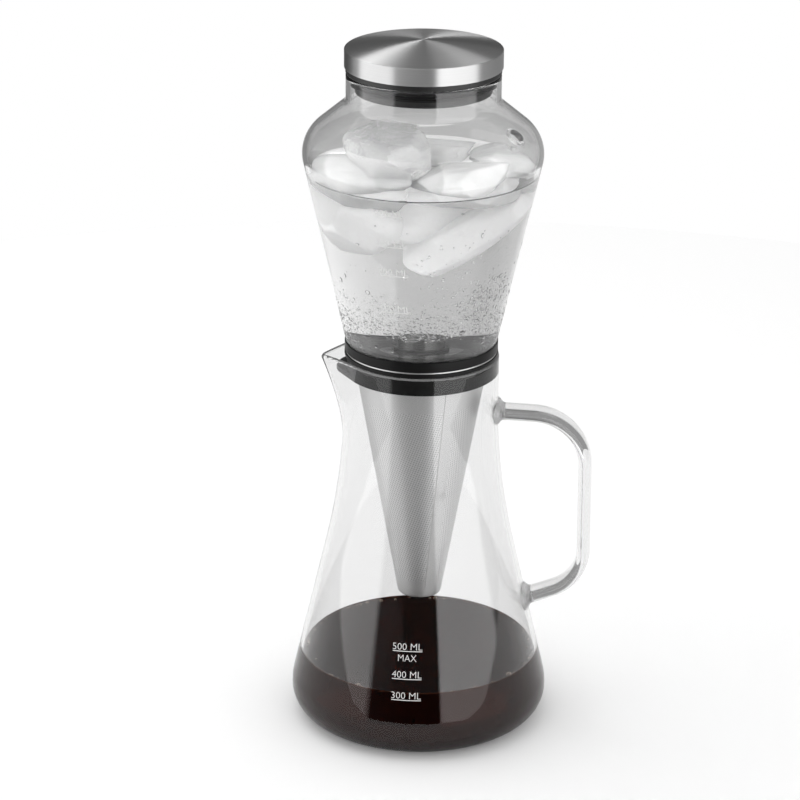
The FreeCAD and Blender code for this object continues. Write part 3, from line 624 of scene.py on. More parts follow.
# Filter. A cone rolled from fine perforated stainless sheet, with a plain band at its top and bottom, a
# pressed bottom cup and a flat rim.
FILTER_SHEET = 0.5
FILTER_TOP_RADIUS = 32.4
FILTER_BOTTOM_RADIUS = 10.2
FILTER_BOTTOM_HEIGHT = 61.4
FILTER_CUP_DEPTH = 4.6
FILTER_CUP_ROUND = 1.6
FILTER_RIM_RADIUS = 35.6
FILTER_RIM_THICKNESS = 0.7
GASKET_LIP_THICKNESS = 2.0
CONE_ROWS = 60
HOLE_PITCH = 1.15
HOLE_RADIUS = 0.3
HOLE_SOFTNESS = 0.25
SEAM_BEARING = -58.0
SEAM_WIDTH = 5.4
SEAM_STAND = 0.25
SEAM_SINK = -0.3
SEAM_SHARES = (-1.0, -1.0, -0.94, -0.6, -0.2, 0.2, 0.6, 0.94, 1.0, 1.0)
SEAM_LIFTS = (SEAM_SINK, 0.5, 1.0, 1.0, 1.0, 1.0, 1.0, 1.0, 0.5, SEAM_SINK)
SEAM_LOW_GAP = 0.6
SEAM_TOP_DROP = 9.4
SEAM_ROWS = 50
SEAM_MARGIN = 0.4
SHEET_GRAIN = 1.6
HOLES_LOW = 71.0
HOLES_HIGH = 163.0

lip_top = CARAFE_RIM_HEIGHT + GASKET_LIP_THICKNESS
rim_top = lip_top + FILTER_RIM_THICKNESS
cup_top = FILTER_BOTTOM_HEIGHT + FILTER_CUP_DEPTH
cone_slope = (FILTER_TOP_RADIUS - FILTER_BOTTOM_RADIUS) / (lip_top - FILTER_BOTTOM_HEIGHT)


def cone_radius(height):
    """Outer radius of the filter cone at a height: a straight line from the bottom to the rim."""
    return FILTER_BOTTOM_RADIUS + (height - FILTER_BOTTOM_HEIGHT) * cone_slope


cone_rows = np.linspace(cup_top, lip_top, CONE_ROWS)
cone_outside = np.stack([cone_radius(cone_rows), cone_rows], 1)
cone_inside = cone_outside - np.array([FILTER_SHEET, 0])
cone_profile = np.concatenate([cone_outside, cone_inside[::-1]])
filter_cone = skin("filter_mesh_cone", turned(cone_profile), "filter", True)
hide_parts("filter_cone")
cup_outside, cup_normals = rounded_run(
    [
        (0, FILTER_BOTTOM_HEIGHT, 0),
        (FILTER_BOTTOM_RADIUS, FILTER_BOTTOM_HEIGHT, FILTER_CUP_ROUND),
        (cone_radius(cup_top), cup_top, 0),
    ]
)
cup_inside = cup_outside - cup_normals * FILTER_SHEET
cup_inside[0, 0] = 0
cup_inside[-1, 1] = cup_top
filter_cup = skin("filter_bottom_cup", turned(np.concatenate([cup_outside, cup_inside[::-1]])), "filter")
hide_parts("filter_cup")
rim_profile, _ = rounded_run(
    [
        (FILTER_TOP_RADIUS - FILTER_SHEET, lip_top, 0),
        (FILTER_RIM_RADIUS, lip_top, 0.2),
        (FILTER_RIM_RADIUS, rim_top, 0.2),
        (FILTER_TOP_RADIUS - FILTER_SHEET, rim_top, 0),
    ]
)
filter_rim = skin("filter_flat_rim", turned(rim_profile), "filter", True)
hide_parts("filter_rim")

# The sheet's two edges lap in one plain strip down the cone, spot welded, which stands a little proud.
seam_rows = np.linspace(cup_top + SEAM_LOW_GAP, CARAFE_RIM_HEIGHT - SEAM_TOP_DROP, SEAM_ROWS)[:, None]
on_cone = cone_radius(seam_rows)
seam_turn = math.radians(SEAM_BEARING) + np.array(SEAM_SHARES) * SEAM_WIDTH / 2 / on_cone
seam_over = about_axis(on_cone + np.array(SEAM_LIFTS) * SEAM_STAND, seam_turn, seam_rows)
seam_under = about_axis(on_cone + SEAM_SINK * SEAM_STAND, seam_turn, seam_rows)
seam_grid = np.concatenate([seam_under[:1], seam_over, seam_under[::-1]])
seam_lap = skin("filter_seam_lap", seam_grid, "filter", True, False)

# Stainless steel sheet, 1.4301, rolled and etched through: a satin grey with slow bright and dim bands.
# The lattice lies on the flat sheet from which the cone is rolled. Its holes are not cut: they are painted
# as darker grey dots with a shallow dent, painted shade for the dark seen through them. Real holes are under
# half a millimetre and about 0.8 mm apart, and are drawn a little coarser so that they show.
steel_sheet, node = new_material("perforated_stainless_sheet")
place = node("TexCoord").outputs["Object"]
half_apex = math.atan(cone_slope)
from_seam = node("Mapping", Vector=place, Rotation=(0, 0, math.radians(180 - SEAM_BEARING)))
parts = node("SeparateXYZ", Vector=from_seam)
bearing_node = node("Math", operation="ARCTAN2", i0=parts.outputs["Y"], i1=parts.outputs["X"])
apex_height = FILTER_BOTTOM_HEIGHT - FILTER_BOTTOM_RADIUS / cone_slope
above_apex = node("Math", operation="SUBTRACT", i0=parts.outputs["Z"], i1=apex_height * MM)
slant = node("Math", operation="MULTIPLY", i0=above_apex, i1=1 / math.cos(half_apex))
unrolled = node("Math", operation="MULTIPLY", i0=bearing_node, i1=math.sin(half_apex))
cosine = node("Math", operation="COSINE", i0=unrolled)
sine = node("Math", operation="SINE", i0=unrolled)
sheet_x = node("Math", operation="MULTIPLY", i0=slant, i1=cosine)
sheet_y = node("Math", operation="MULTIPLY", i0=slant, i1=sine)
sheet = node("CombineXYZ", X=sheet_x, Y=sheet_y)
lattice = node(
    "Mapping", Vector=sheet, Rotation=(0, 0, math.radians(45)), Scale=[1 / (HOLE_PITCH * MM)] * 3,
)
cell = node("VectorMath", operation="FRACTION", i0=lattice)
centred = node("VectorMath", operation="SUBTRACT", i0=cell, i1=(0.5, 0.5, 0))
away = node("VectorMath", operation="LENGTH", i0=centred)
hole = node(
    "MapRange", Value=away.outputs["Value"], From_Min=HOLE_RADIUS * (1 - HOLE_SOFTNESS),
    From_Max=HOLE_RADIUS * (1 + HOLE_SOFTNESS), To_Min=1.0, To_Max=0.0,
)
low_edge = node("Math", operation="GREATER_THAN", i0=parts.outputs["Z"], i1=HOLES_LOW * MM)
high_edge = node("Math", operation="LESS_THAN", i0=parts.outputs["Z"], i1=HOLES_HIGH * MM)
zone = node("Math", operation="MULTIPLY", i0=low_edge, i1=high_edge)
round_half = node("Math", operation="ABSOLUTE", i0=unrolled)
short_of_seam = node("Math", operation="SUBTRACT", i0=math.pi * math.sin(half_apex), i1=round_half)
from_strip = node("Math", operation="MULTIPLY", i0=short_of_seam, i1=slant)
half_strip = (SEAM_WIDTH / 2 + SEAM_MARGIN) * MM
off_strip = node("Math", operation="GREATER_THAN", i0=from_strip, i1=half_strip)
zone = node("Math", operation="MULTIPLY", i0=zone, i1=off_strip)
hole_shade_and_dent = node("Math", operation="MULTIPLY", i0=hole, i1=zone)
grain = node("TexNoise", Vector=place, Scale=1 / (SHEET_GRAIN * MM), Detail=3.0)
plain = node("MixRGB", Fac=grain, Color1="#DADADA", Color2="#E2E2E2")
bridge = node("MixRGB", Fac=zone, Color1=plain, Color2="#EAEAEA")
# Painted shade: the holes are darker grey dots, where the real sheet is open.
tone = node("MixRGB", Fac=hole_shade_and_dent, Color1=bridge, Color2="#BEBEBE")
gloss = node("MapRange", Value=grain, To_Min=0.44, To_Max=0.48)
rolled_way = node("Tangent", direction_type="RADIAL", axis="Z")
pit = node("Math", operation="MULTIPLY", i0=hole_shade_and_dent, i1=-1.0)
dent = node("Bump", Height=pit, Strength=0.1, Distance=0.1 * MM)
shader = node(
    "BsdfPrincipled", Base_Color=tone, Metallic=1.0, Roughness=gloss, Anisotropic=0.8,
    Anisotropic_Rotation=0.25, Tangent=rolled_way, Normal=dent,
)
node("OutputMaterial", Surface=shader)
for piece in (filter_cone, filter_cup, filter_rim, seam_lap):
    piece.data.materials.append(steel_sheet)

# Filter gasket. One black silicone moulding on the filter: a sleeve that fills the carafe's neck, a lip on
# the glass rim, and a tongue that reaches into the root of the spout.
GASKET_SLEEVE_RADIUS = 34.58
GASKET_SLEEVE_DEPTH = 8.9
GASKET_LIP_RADIUS = 36.0
TONGUE_REACH = 38.9
TONGUE_ROUND = 12.0
TONGUE_THICKNESS = 3.2
RUBBER_CLOUD = 6.0

sleeve_low = CARAFE_RIM_HEIGHT - GASKET_SLEEVE_DEPTH
tongue_top = sleeve_low + TONGUE_THICKNESS
bore_low = float(cone_radius(sleeve_low))
gasket_profile, _ = rounded_run(
    [
        (bore_low, sleeve_low, 0),
        (GASKET_SLEEVE_RADIUS, sleeve_low, 0.5),
        (GASKET_SLEEVE_RADIUS, tongue_top - 0.4, 0),
        (GASKET_SLEEVE_RADIUS, tongue_top, 0),
        (GASKET_SLEEVE_RADIUS, CARAFE_RIM_HEIGHT, 0),
        (GASKET_LIP_RADIUS, CARAFE_RIM_HEIGHT, 0.3),
        (GASKET_LIP_RADIUS, lip_top, 0.5),
        (FILTER_TOP_RADIUS, lip_top, 0),
    ],
    straight_step=2.0,
)
out_share = np.clip((gasket_profile[:, 0] - bore_low) / (GASKET_SLEEVE_RADIUS - bore_low), 0, 1)
tongue_share = np.where(gasket_profile[:, 1] < tongue_top - 0.3, out_share, 0)[:, None]
nose = teardrop(spout_angles, GASKET_SLEEVE_RADIUS, TONGUE_REACH, TONGUE_ROUND) - GASKET_SLEEVE_RADIUS
gasket_reach = gasket_profile[:, :1] + tongue_share * nose
gasket_grid = about_axis(-gasket_reach, spout_angles, gasket_profile[:, 1:])
gasket = skin("filter_sleeve_gasket", gasket_grid, "filter", True)
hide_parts("filter_gasket")

# Silicone rubber, black, moulded: a soft satin, a little uneven in its shine.
rubber, node = new_material("black_silicone")
place = node("TexCoord").outputs["Object"]
cloud = node("TexNoise", Vector=place, Scale=1 / (RUBBER_CLOUD * MM), Detail=2.0)
tone = node("MixRGB", Fac=cloud, Color1="#080808", Color2="#0E0E0E")
gloss = node("MapRange", Value=cloud, To_Min=0.34, To_Max=0.44)
shader = node("BsdfPrincipled", Base_Color=tone, Roughness=gloss, IOR=1.41, Specular_IOR_Level=0.25)
node("OutputMaterial", Surface=shader)
gasket.data.materials.append(rubber)

# Reservoir. A blown glass funnel on a narrow foot, with a wide shoulder, a straight neck for the lid, and
# a small fire-rounded air hole pierced in the shoulder.
RESERVOIR_WALL = 2.0
RESERVOIR_FLOOR = 2.6
RESERVOIR_FOOT_RADIUS = 34.7
RESERVOIR_FOOT_ROUND = 4.0
RESERVOIR_SHOULDER_RADIUS = 57.3
RESERVOIR_SHOULDER_RISE = 99.3
RESERVOIR_SHOULDER_ROUND = 17.0
RESERVOIR_NECK_RADIUS = 35.5
RESERVOIR_NECK_RISE = 117.3
RESERVOIR_NECK_ROUND = 4.5
RESERVOIR_HEIGHT = 130.7
COLLAR_FLOOR = 1.9
VALVE_HOLE_RADIUS = 6.5
VENT_RADIUS = 3.3
VENT_LIP_RADIUS = 4.8
VENT_LIP_STAND = 0.8
VENT_DIRECTION = -24.5
VENT_SHOULDER_SHARE = 0.45
VENT_HALF_PATCH = 6.5
VENT_PALE_MARGIN = 0.4
RESERVOIR_COLUMNS = 240

seat = rim_top + COLLAR_FLOOR
reservoir_outer, reservoir_normals = rounded_run(
    [
        (VALVE_HOLE_RADIUS, seat, 0),
        (RESERVOIR_FOOT_RADIUS, seat, RESERVOIR_FOOT_ROUND),
        (RESERVOIR_SHOULDER_RADIUS, seat + RESERVOIR_SHOULDER_RISE, RESERVOIR_SHOULDER_ROUND),
        (RESERVOIR_NECK_RADIUS, seat + RESERVOIR_NECK_RISE, RESERVOIR_NECK_ROUND),
        (RESERVOIR_NECK_RADIUS, seat + RESERVOIR_HEIGHT - RESERVOIR_WALL / 2, 0),
    ],
    arc_step=2.0,
    straight_step=2.0,
)
corner_share = np.clip((reservoir_outer[:, 1:] - seat) / RESERVOIR_FOOT_ROUND, 0, 1)
reservoir_depth = RESERVOIR_FLOOR + (RESERVOIR_WALL - RESERVOIR_FLOOR) * corner_share
reservoir_inner = reservoir_outer - reservoir_normals * reservoir_depth
along_wall = run_length(reservoir_outer)
shoulder = np.array(
    [RESERVOIR_NECK_RADIUS - RESERVOIR_SHOULDER_RADIUS, RESERVOIR_NECK_RISE - RESERVOIR_SHOULDER_RISE]
)
shoulder_foot = np.array([RESERVOIR_SHOULDER_RADIUS, seat + RESERVOIR_SHOULDER_RISE])
vent_point = shoulder_foot + shoulder * VENT_SHOULDER_SHARE
vent_row = np.argmin(np.linalg.norm(reservoir_outer - vent_point, axis=1))
vent_along = along_wall[vent_row]
vent_turn = math.radians(VENT_DIRECTION)
reservoir_angles = vent_turn + np.linspace(0, 2 * np.pi, RESERVOIR_COLUMNS, endpoint=False) + np.pi
vent_reach = reservoir_outer[vent_row, 0]


def wall_point(along, angle, depth):
    """Point in the wall from a length up the outer skin, an angle and a depth along the skin's normal."""
    columns = (*reservoir_outer.T, *reservoir_normals.T)
    radius, height, out, rise = (np.interp(along, along_wall, column) for column in columns)
    return about_axis(radius - out * depth, angle, height - rise * depth)


outer_rows = turned(reservoir_outer, reservoir_angles)
inner_rows = turned(reservoir_inner, reservoir_angles)
rim_rows = half_round(outer_rows[-1], inner_rows[-1])
reservoir_grid = np.concatenate([outer_rows, rim_rows, inner_rows[::-1]])
index = numbered(reservoir_grid)

# The air hole takes the place of a square block of cells in both skins. Rings go from the block's edge
# up over the lip, through the wall and out to the block's edge inside.
row_low = np.searchsorted(along_wall, vent_along - VENT_HALF_PATCH) - 1
row_high = np.searchsorted(along_wall, vent_along + VENT_HALF_PATCH)
column_half = math.ceil(VENT_HALF_PATCH / vent_reach / (2 * np.pi / RESERVOIR_COLUMNS))
column_low = RESERVOIR_COLUMNS // 2 - column_half
column_high = RESERVOIR_COLUMNS // 2 + column_half
rows = np.arange(row_low, row_high + 1)
columns = np.arange(column_low, column_high + 1)
loop_rows = np.r_[
    np.full(len(columns) - 1, row_low), rows[:-1], np.full(len(columns) - 1, row_high), rows[:0:-1]
]
loop_columns = np.r_[
    columns[:-1], np.full(len(rows) - 1, column_high), columns[:0:-1], np.full(len(rows) - 1, column_low)
]
loop_turn = np.arctan2(
    along_wall[loop_rows] - vent_along, (reservoir_angles[loop_columns] - vent_turn - 2 * np.pi) * vent_reach
)
ring_run, _ = rounded_run(
    [
        (VENT_LIP_RADIUS + 1.0, 0, 0),
        (VENT_LIP_RADIUS, 0, 0.7),
        (VENT_LIP_RADIUS - 0.2, -VENT_LIP_STAND, 0.55),
        (VENT_RADIUS, -VENT_LIP_STAND, 0.5),
        (VENT_RADIUS, RESERVOIR_WALL, 0.6),
        (VENT_RADIUS + 1.6, RESERVOIR_WALL, 0),
    ],
    arc_step=15.0,
    straight_step=1.0,
)
ring_reach = ring_run[:, :1]
rings = wall_point(
    vent_along + ring_reach * np.sin(loop_turn),
    vent_turn + ring_reach * np.cos(loop_turn) / vent_reach,
    np.repeat(ring_run[:, 1:], len(loop_turn), 1),
)
last = len(reservoir_grid) - 1
edges = [reservoir_grid[at, loop_columns][None] for at in (loop_rows, last - loop_rows)]
patch = np.concatenate([edges[0], rings, edges[1]])
keep = np.ones(index.shape, bool)
keep[row_low:row_high, column_low:column_high] = False
keep[last - row_high : last - row_low, column_low:column_high] = False
wall_faces = cells(index, True)[keep.reshape(-1)]
reservoir_glass = shell(
    "reservoir_vessel",
    np.concatenate([reservoir_grid.reshape(-1, 3), patch.reshape(-1, 3)]),
    np.concatenate([wall_faces, cells(numbered(patch, index.size))]),
    "reservoir",
)
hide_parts("reservoir_glass")
reservoir_glass.data.materials.append(glass)
off_vent = np.linalg.norm(face_places(reservoir_glass) - wall_point(vent_along, vent_turn, 0.0), axis=1)
# Round the air hole the reservoir takes the pale glass with its painted highlight.
second_material(reservoir_glass, off_vent < VENT_LIP_RADIUS + VENT_PALE_MARGIN, pale_highlight_glass)

# Fill marks of the reservoir, in the same fired ink, on the funnel's outside.
RESERVOIR_MARK_BEARING = -101.5
RESERVOIR_MARK_WIDTH = 14.0
RESERVOIR_MARK_LETTER = 3.0
RESERVOIR_MARKS = (("400 ML", 265.5), ("300 ML", 250.4), ("200 ML", 235.7), ("100 ML", 216.9))
for words, height in RESERVOIR_MARKS:
    mark(
        "reservoir", words, height, RESERVOIR_MARK_WIDTH, RESERVOIR_MARK_LETTER, RESERVOIR_MARK_BEARING,
        reservoir_outer,
    )

# Foot collar. A black silicone shoe under the glass: a floor with an opening for the valve, a wall round
# the glass's corner, and a spigot that centres it in the filter.
COLLAR_RADIUS = 35.9
COLLAR_RISE = 4.7
COLLAR_OPENING_RADIUS = 14.0
SPIGOT_CLEARANCE = 0.6
SPIGOT_WALL = 2.0
SPIGOT_DEPTH = 4.2
SILICONE_PRESS = 0.1

spigot_low = rim_top - SPIGOT_DEPTH
spigot_radius = float(cone_radius(spigot_low)) - FILTER_SHEET - SPIGOT_CLEARANCE
collar_top = rim_top + COLLAR_RISE
hugging = reservoir_outer - reservoir_normals * SILICONE_PRESS
hugging = hugging[(reservoir_outer[:, 0] > COLLAR_OPENING_RADIUS) & (reservoir_outer[:, 1] < collar_top)]
collar_profile, _ = rounded_run(
    [
        (COLLAR_OPENING_RADIUS, seat, 0),
        (COLLAR_OPENING_RADIUS, rim_top, 0.3),
        (spigot_radius - SPIGOT_WALL, rim_top, 0),
        (spigot_radius - SPIGOT_WALL, spigot_low, 0.4),
        (spigot_radius, spigot_low, 0.4),
        (spigot_radius, rim_top, 0),
        (COLLAR_RADIUS, rim_top, 0.3),
        (COLLAR_RADIUS, collar_top, 0.4),
        (float(hugging[-1, 0]), collar_top, 0),
    ]
)
collar_profile = np.concatenate([collar_profile, hugging[::-1]])
collar = skin("reservoir_foot_collar", turned(collar_profile), "reservoir", True)
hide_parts("reservoir_collar")
collar.data.materials.append(rubber)

# Drip valve and tap. A turned stainless body clamped through the floor between two washers by a nut, and
# a needle screw with a ribbed knob and drip tip under it. The CAD solids are shown as they are.
TURNING_MARK = 3.14
PLASTIC_TEXTURE = 0.4

# Stainless steel turned on a lathe: a darker grey, with fine rings round the axis. The ring texture has
# some three rings to its unit, so they come out a millimetre apart, coarser than a real cut, to show.
turned_steel, node = new_material("turned_stainless_steel")
place = node("TexCoord").outputs["Object"]
cuts = node(
    "TexWave", wave_type="RINGS", rings_direction="Z", Vector=place, Scale=1 / (TURNING_MARK * MM),
    Distortion=0.6, Detail=2.0,
).outputs["Fac"]
tone = node("MixRGB", Fac=cuts, Color1="#6E6E6D", Color2="#868685")
gloss = node("MapRange", Value=cuts, To_Min=0.22, To_Max=0.34)
shader = node("BsdfPrincipled", Base_Color=tone, Metallic=1.0, Roughness=gloss)
node("OutputMaterial", Surface=shader)

# Polypropylene, black, moulded: an even satin with the fine texture of the mould.
plastic, node = new_material("black_moulded_polypropylene")
place = node("TexCoord").outputs["Object"]
texture = node("TexNoise", Vector=place, Scale=1 / (PLASTIC_TEXTURE * MM), Detail=3.0)
tone = node("MixRGB", Fac=texture, Color1="#161616", Color2="#202020")
gloss = node("MapRange", Value=texture, To_Min=0.3, To_Max=0.45)
dent = node("Bump", Height=texture, Strength=0.1, Distance=0.03 * MM)
shader = node("BsdfPrincipled", Base_Color=tone, Roughness=gloss, IOR=1.49, Normal=dent)
node("OutputMaterial", Surface=shader)

for part, material in (
    ("valve_body", turned_steel), ("valve_nut", turned_steel), ("tap_spindle", turned_steel),
    ("valve_washer_upper", rubber), ("valve_washer_lower", rubber), ("tap_oring", rubber),
    ("tap_knob", plastic), ("drip_tip", plastic),
):
    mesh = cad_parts[part].data
    mesh.materials.clear()
    mesh.materials.append(material)

# Water. Still tap water in the reservoir, wetting the glass and standing round the valve's head.
WATER_HEIGHT = 272.0
WATER_CREEP = 1.2
WATER_CREEP_WIDTH = 0.9
WATER_WAVE = 9.0
WATER_IOR = 1.333
water_wall = reservoir_inner + reservoir_normals * LIQUID_OVERLAP
water_top = WATER_HEIGHT + WATER_CREEP
under = water_wall[water_wall[:, 1] < water_top]
under = np.concatenate([[[0, under[0, 1]]], under])
funnel_wall = water_wall[water_wall[:, 0] > RESERVOIR_FOOT_RADIUS - RESERVOIR_FOOT_ROUND]
water_edge = radius_at(funnel_wall, water_top)
inset = np.r_[CREEP_STEPS, np.linspace(9, water_edge, 14)]
surface = still_surface(water_edge, WATER_HEIGHT, WATER_CREEP, WATER_CREEP_WIDTH, inset)
water = skin("water", turned(np.concatenate([under, surface])), "reservoir", sharp=60.0)

# Clear water: refracts, with the faintest ripple on its surface where drops run off the ice.
clear, node = new_material("clear_water")
place = node("TexCoord").outputs["Object"]
waves = node("TexNoise", Vector=place, Scale=1 / (WATER_WAVE * MM), Detail=1.0)
ripple = node("Bump", Height=waves, Strength=0.25, Distance=0.3 * MM)
shader = node(
    "BsdfPrincipled", Base_Color="#FEFEFE", Roughness=0.0, IOR=WATER_IOR, Transmission_Weight=1.0,
    Normal=ripple,
)
node("OutputMaterial", Surface=shader)
water.data.materials.append(clear)

# Ice. Broken pieces from a tray: half-melted lumps that float at the surface or lie under it, cloudy
# inside, with one clear cracked piece on top of the rest.
WAVE_SIZES = 5
WAVES_OF_A_SIZE = 6
WAVE_COARSEST = 1.6
WAVE_FINER = 1.7
WAVE_LOWER = 0.72
BREAKS = 7
BREAK_REACH = (0.66, 0.86)
BREAK_FLATNESS = 0.92
VEIL_SHARE = 2.2


def lump(name, centre, size, turns, power, seed, rough, rows=48, columns=72):
    """A melted block: a ball pushed out towards a box, with slow waves over it, then turned and placed.

    Each direction's length is one over the power mean of its parts, so a high power gives a box with
    round edges. Waves are sums of sines of the direction with seeded phases, each size finer and lower
    than the one before. Then seeded planes cut its corners back almost flat, as where a cube broke: what
    stands past a plane is pressed down by the flatness.
    """
    dice = np.random.default_rng(seed)
    way = ball(rows, columns)
    length = np.sum(np.abs(way) ** power, -1, keepdims=True) ** (-1 / power)
    waves = 0
    for step in range(WAVE_SIZES):
        heading = dice.normal(size=(WAVES_OF_A_SIZE, 3)) * WAVE_COARSEST * WAVE_FINER**step
        phase = dice.uniform(0, 2 * np.pi, WAVES_OF_A_SIZE)
        waves = waves + np.sin(way @ heading.T + phase).sum(-1) / WAVES_OF_A_SIZE * WAVE_LOWER**step
    block = way * length * np.array(size) / 2 * (1 + rough * waves[..., None])
    for _ in range(BREAKS):
        outward = dice.normal(size=3)
        outward /= np.linalg.norm(outward)
        reach = block @ outward
        limit = reach.max() * dice.uniform(*BREAK_REACH)
        block = block - np.maximum(0, reach - limit)[..., None] * outward * BREAK_FLATNESS
    spin = Matrix.Identity(3)
    for degrees, axis in zip(turns[::-1], "ZYX"):
        spin = spin @ Matrix.Rotation(math.radians(degrees), 3, axis)
    return skin(name, block @ np.array(spin).T + np.array(centre), "reservoir", sharp=180.0)


def ice_glass(name, hex_colour, roughness, ior, clearness, wave, depth):
    """Ice of one kind: the less clear it is, the more of its light it scatters as a white body does.

    Its surface is wavy at the wave's size in millimetres, and a coarser veil pales its colour in places.
    """
    material, node = new_material(name)
    place = node("TexCoord").outputs["Object"]
    fold = node("TexNoise", Vector=place, Scale=1 / (wave * MM), Detail=4.0, Distortion=0.8)
    dent = node("Bump", Height=fold, Strength=0.6, Distance=depth * MM)
    veil = node("TexNoise", Vector=place, Scale=1 / (wave * VEIL_SHARE * MM), Detail=3.0)
    tone = node("MixRGB", Fac=veil, Color1=hex_colour, Color2="#FFFFFF")
    shader = node(
        "BsdfPrincipled", Base_Color=tone, Roughness=roughness, IOR=ior, Transmission_Weight=clearness,
        Normal=dent,
    )
    node("OutputMaterial", Surface=shader)
    return material


# Clear ice bends light as ice does. Cloudy ice is full of air and wet with melt, so it bends light less
# and scatters it, and under water, whose bending is nearly its own, its outline is soft.
clear_ice = ice_glass("clear_cracked_ice", "#FEFEFE", 0.02, 1.31, 0.80, 3.0, 1.3)
cloudy_ice = ice_glass("cloudy_ice", "#ADAEAE", 0.22, 1.2, 0.3, 10.0, 0.9)
sunk_ice = ice_glass("ice_under_water", "#FFFFFF", 0.55, 1.02, 0.5, 6.0, 1.6)
# Each piece: its name, middle and size in millimetres, turns about X, Y and Z in degrees, how boxy it is,
# its seed, how rough it is, and its kind of ice.
ICE_PIECES = (
    ("ice_clear_top", (-14, -10, 280), (35, 30, 26), (14, -16, 24), 8, 11, 0.04, clear_ice),
    ("ice_float_left", (-25, -15, 271.5), (48, 38, 15), (6, 6, 18), 3.2, 12, 0.06, cloudy_ice),
    ("ice_float_right", (19, -13, 271), (48, 46, 16), (-5, -6, -22), 3.2, 13, 0.06, cloudy_ice),
    ("ice_float_back", (4, 24, 272), (50, 28, 12), (3, 2, 6), 4, 14, 0.035, cloudy_ice),
    ("ice_float_far_right", (36, 13, 271.5), (28, 44, 13), (0, 6, 20), 3.2, 15, 0.06, cloudy_ice),
    ("ice_sunk_left", (-27, -12, 257), (38, 42, 33), (16, 34, 12), 3.0, 16, 0.07, sunk_ice),
    ("ice_sunk_right", (20, -4, 251), (68, 32, 18), (8, -36, 6), 3.4, 17, 0.07, sunk_ice),
    ("ice_sunk_middle", (-2, 4, 257), (56, 34, 29), (-10, 16, 40), 3.0, 18, 0.07, sunk_ice),
)
for *shape, material in ICE_PIECES:
    lump(*shape).data.materials.append(material)

# Air bubbles on the inside of the reservoir's wall, let go by the cold water: most of them small, and
# thickest low down on the front.
FRONT_BEARING = -85.0
WALL_BUBBLES = 420
BUBBLE_BAND = (203.0, 50.0)
BUBBLE_CROWDING = (1.0, 2.6)
BUBBLE_BEARINGS = (8, 42)
BUBBLE_SIZES = (1.5, 0.09)
BUBBLE_SMALLEST = 0.09
BUBBLE_LARGEST = 0.6
dice = np.random.default_rng(21)
bubble_height = BUBBLE_BAND[0] + dice.beta(*BUBBLE_CROWDING, WALL_BUBBLES) * BUBBLE_BAND[1]
bubble_turn = np.radians(FRONT_BEARING + dice.normal(*BUBBLE_BEARINGS, WALL_BUBBLES))
bubble_size = np.minimum(dice.gamma(*BUBBLE_SIZES, WALL_BUBBLES) + BUBBLE_SMALLEST, BUBBLE_LARGEST)
bubble_reach = radius_at(funnel_wall, bubble_height) - LIQUID_OVERLAP - bubble_size
bubble_place = about_axis(bubble_reach, bubble_turn, bubble_height)
bubbles = beads("wall_bubbles", bubble_place, bubble_size, "reservoir")
# Painted shading: each bubble is pale where it faces the view and greyer towards its edge, by the angle of
# view.
bubble_air, node = new_material("air_bubble_painted_shading")
rim = node("LayerWeight", Blend=0.3)
tone = node("MixRGB", Fac=rim.outputs["Facing"], Color1="#FAFAFA", Color2="#A8AAAA")
shader = node("BsdfPrincipled", Base_Color=tone, Roughness=0.05, IOR=1.33, Transmission_Weight=0.3)
node("OutputMaterial", Surface=shader)
bubbles.data.materials.append(bubble_air)

# Dew outside the glass, where the cold wall is wet: fine beads at the foot on both sides, a finer band
# over them, larger drops that have run together on the right, and some strays. The heights and radii of
# each kind are drawn in millimetres, and its bearings in degrees off the front.
FOOT_DEW, BAND_DEW, RUN_DEW, STRAY_DEW = 1900, 1300, 260, 150
FOOT_DEW_RISE = (1.5, 26)
BAND_DEW_RISE = 14
RUN_DEW_HEIGHTS = (222, 6)
STRAY_DEW_HEIGHTS = (229, 14)
FOOT_DEW_TURN = 32
# Radii of each kind: the two numbers of a gamma distribution, and the least and the largest.
DEW_SIZES = (
    (FOOT_DEW, 1.4, 0.1, 0.12, 0.75), (BAND_DEW, 1.6, 0.1, 0.1, 0.6), (RUN_DEW, 1.6, 0.2, 0.15, 1.0),
    (STRAY_DEW, 1.6, 0.2, 0.15, 1.1),
)
DEW_SCALE = 0.9
DEW_LENGTHS = (0.5, 1.9)
DEW_WIDTHS = (0.7, 1.6)
DEW_STAND = 0.16
DEW_FLATNESS = (0.14, 0.8)
LOW_WALL_RADIUS = 20.0
LOW_WALL_TOP = 258.0
dew_heights = np.concatenate([
    seat + FOOT_DEW_RISE[0] + dice.beta(1.0, 2.2, FOOT_DEW) * FOOT_DEW_RISE[1],
    seat + BAND_DEW_RISE + dice.gamma(2.0, 4.0, BAND_DEW),
    dice.normal(*RUN_DEW_HEIGHTS, RUN_DEW),
    dice.normal(*STRAY_DEW_HEIGHTS, STRAY_DEW),
])
dew_turns = np.radians(FRONT_BEARING + np.concatenate([
    dice.choice([-1, 1], FOOT_DEW) * (FOOT_DEW_TURN + dice.gamma(3.0, 15, FOOT_DEW)),
    dice.normal(0, 38, BAND_DEW),
    dice.normal(42, 11, RUN_DEW),
    dice.normal(25, 34, STRAY_DEW),
]))
dew_sizes = DEW_SCALE * np.concatenate([
    np.minimum(dice.gamma(power, spread, count) + least, largest)
    for count, power, spread, least, largest in DEW_SIZES
])
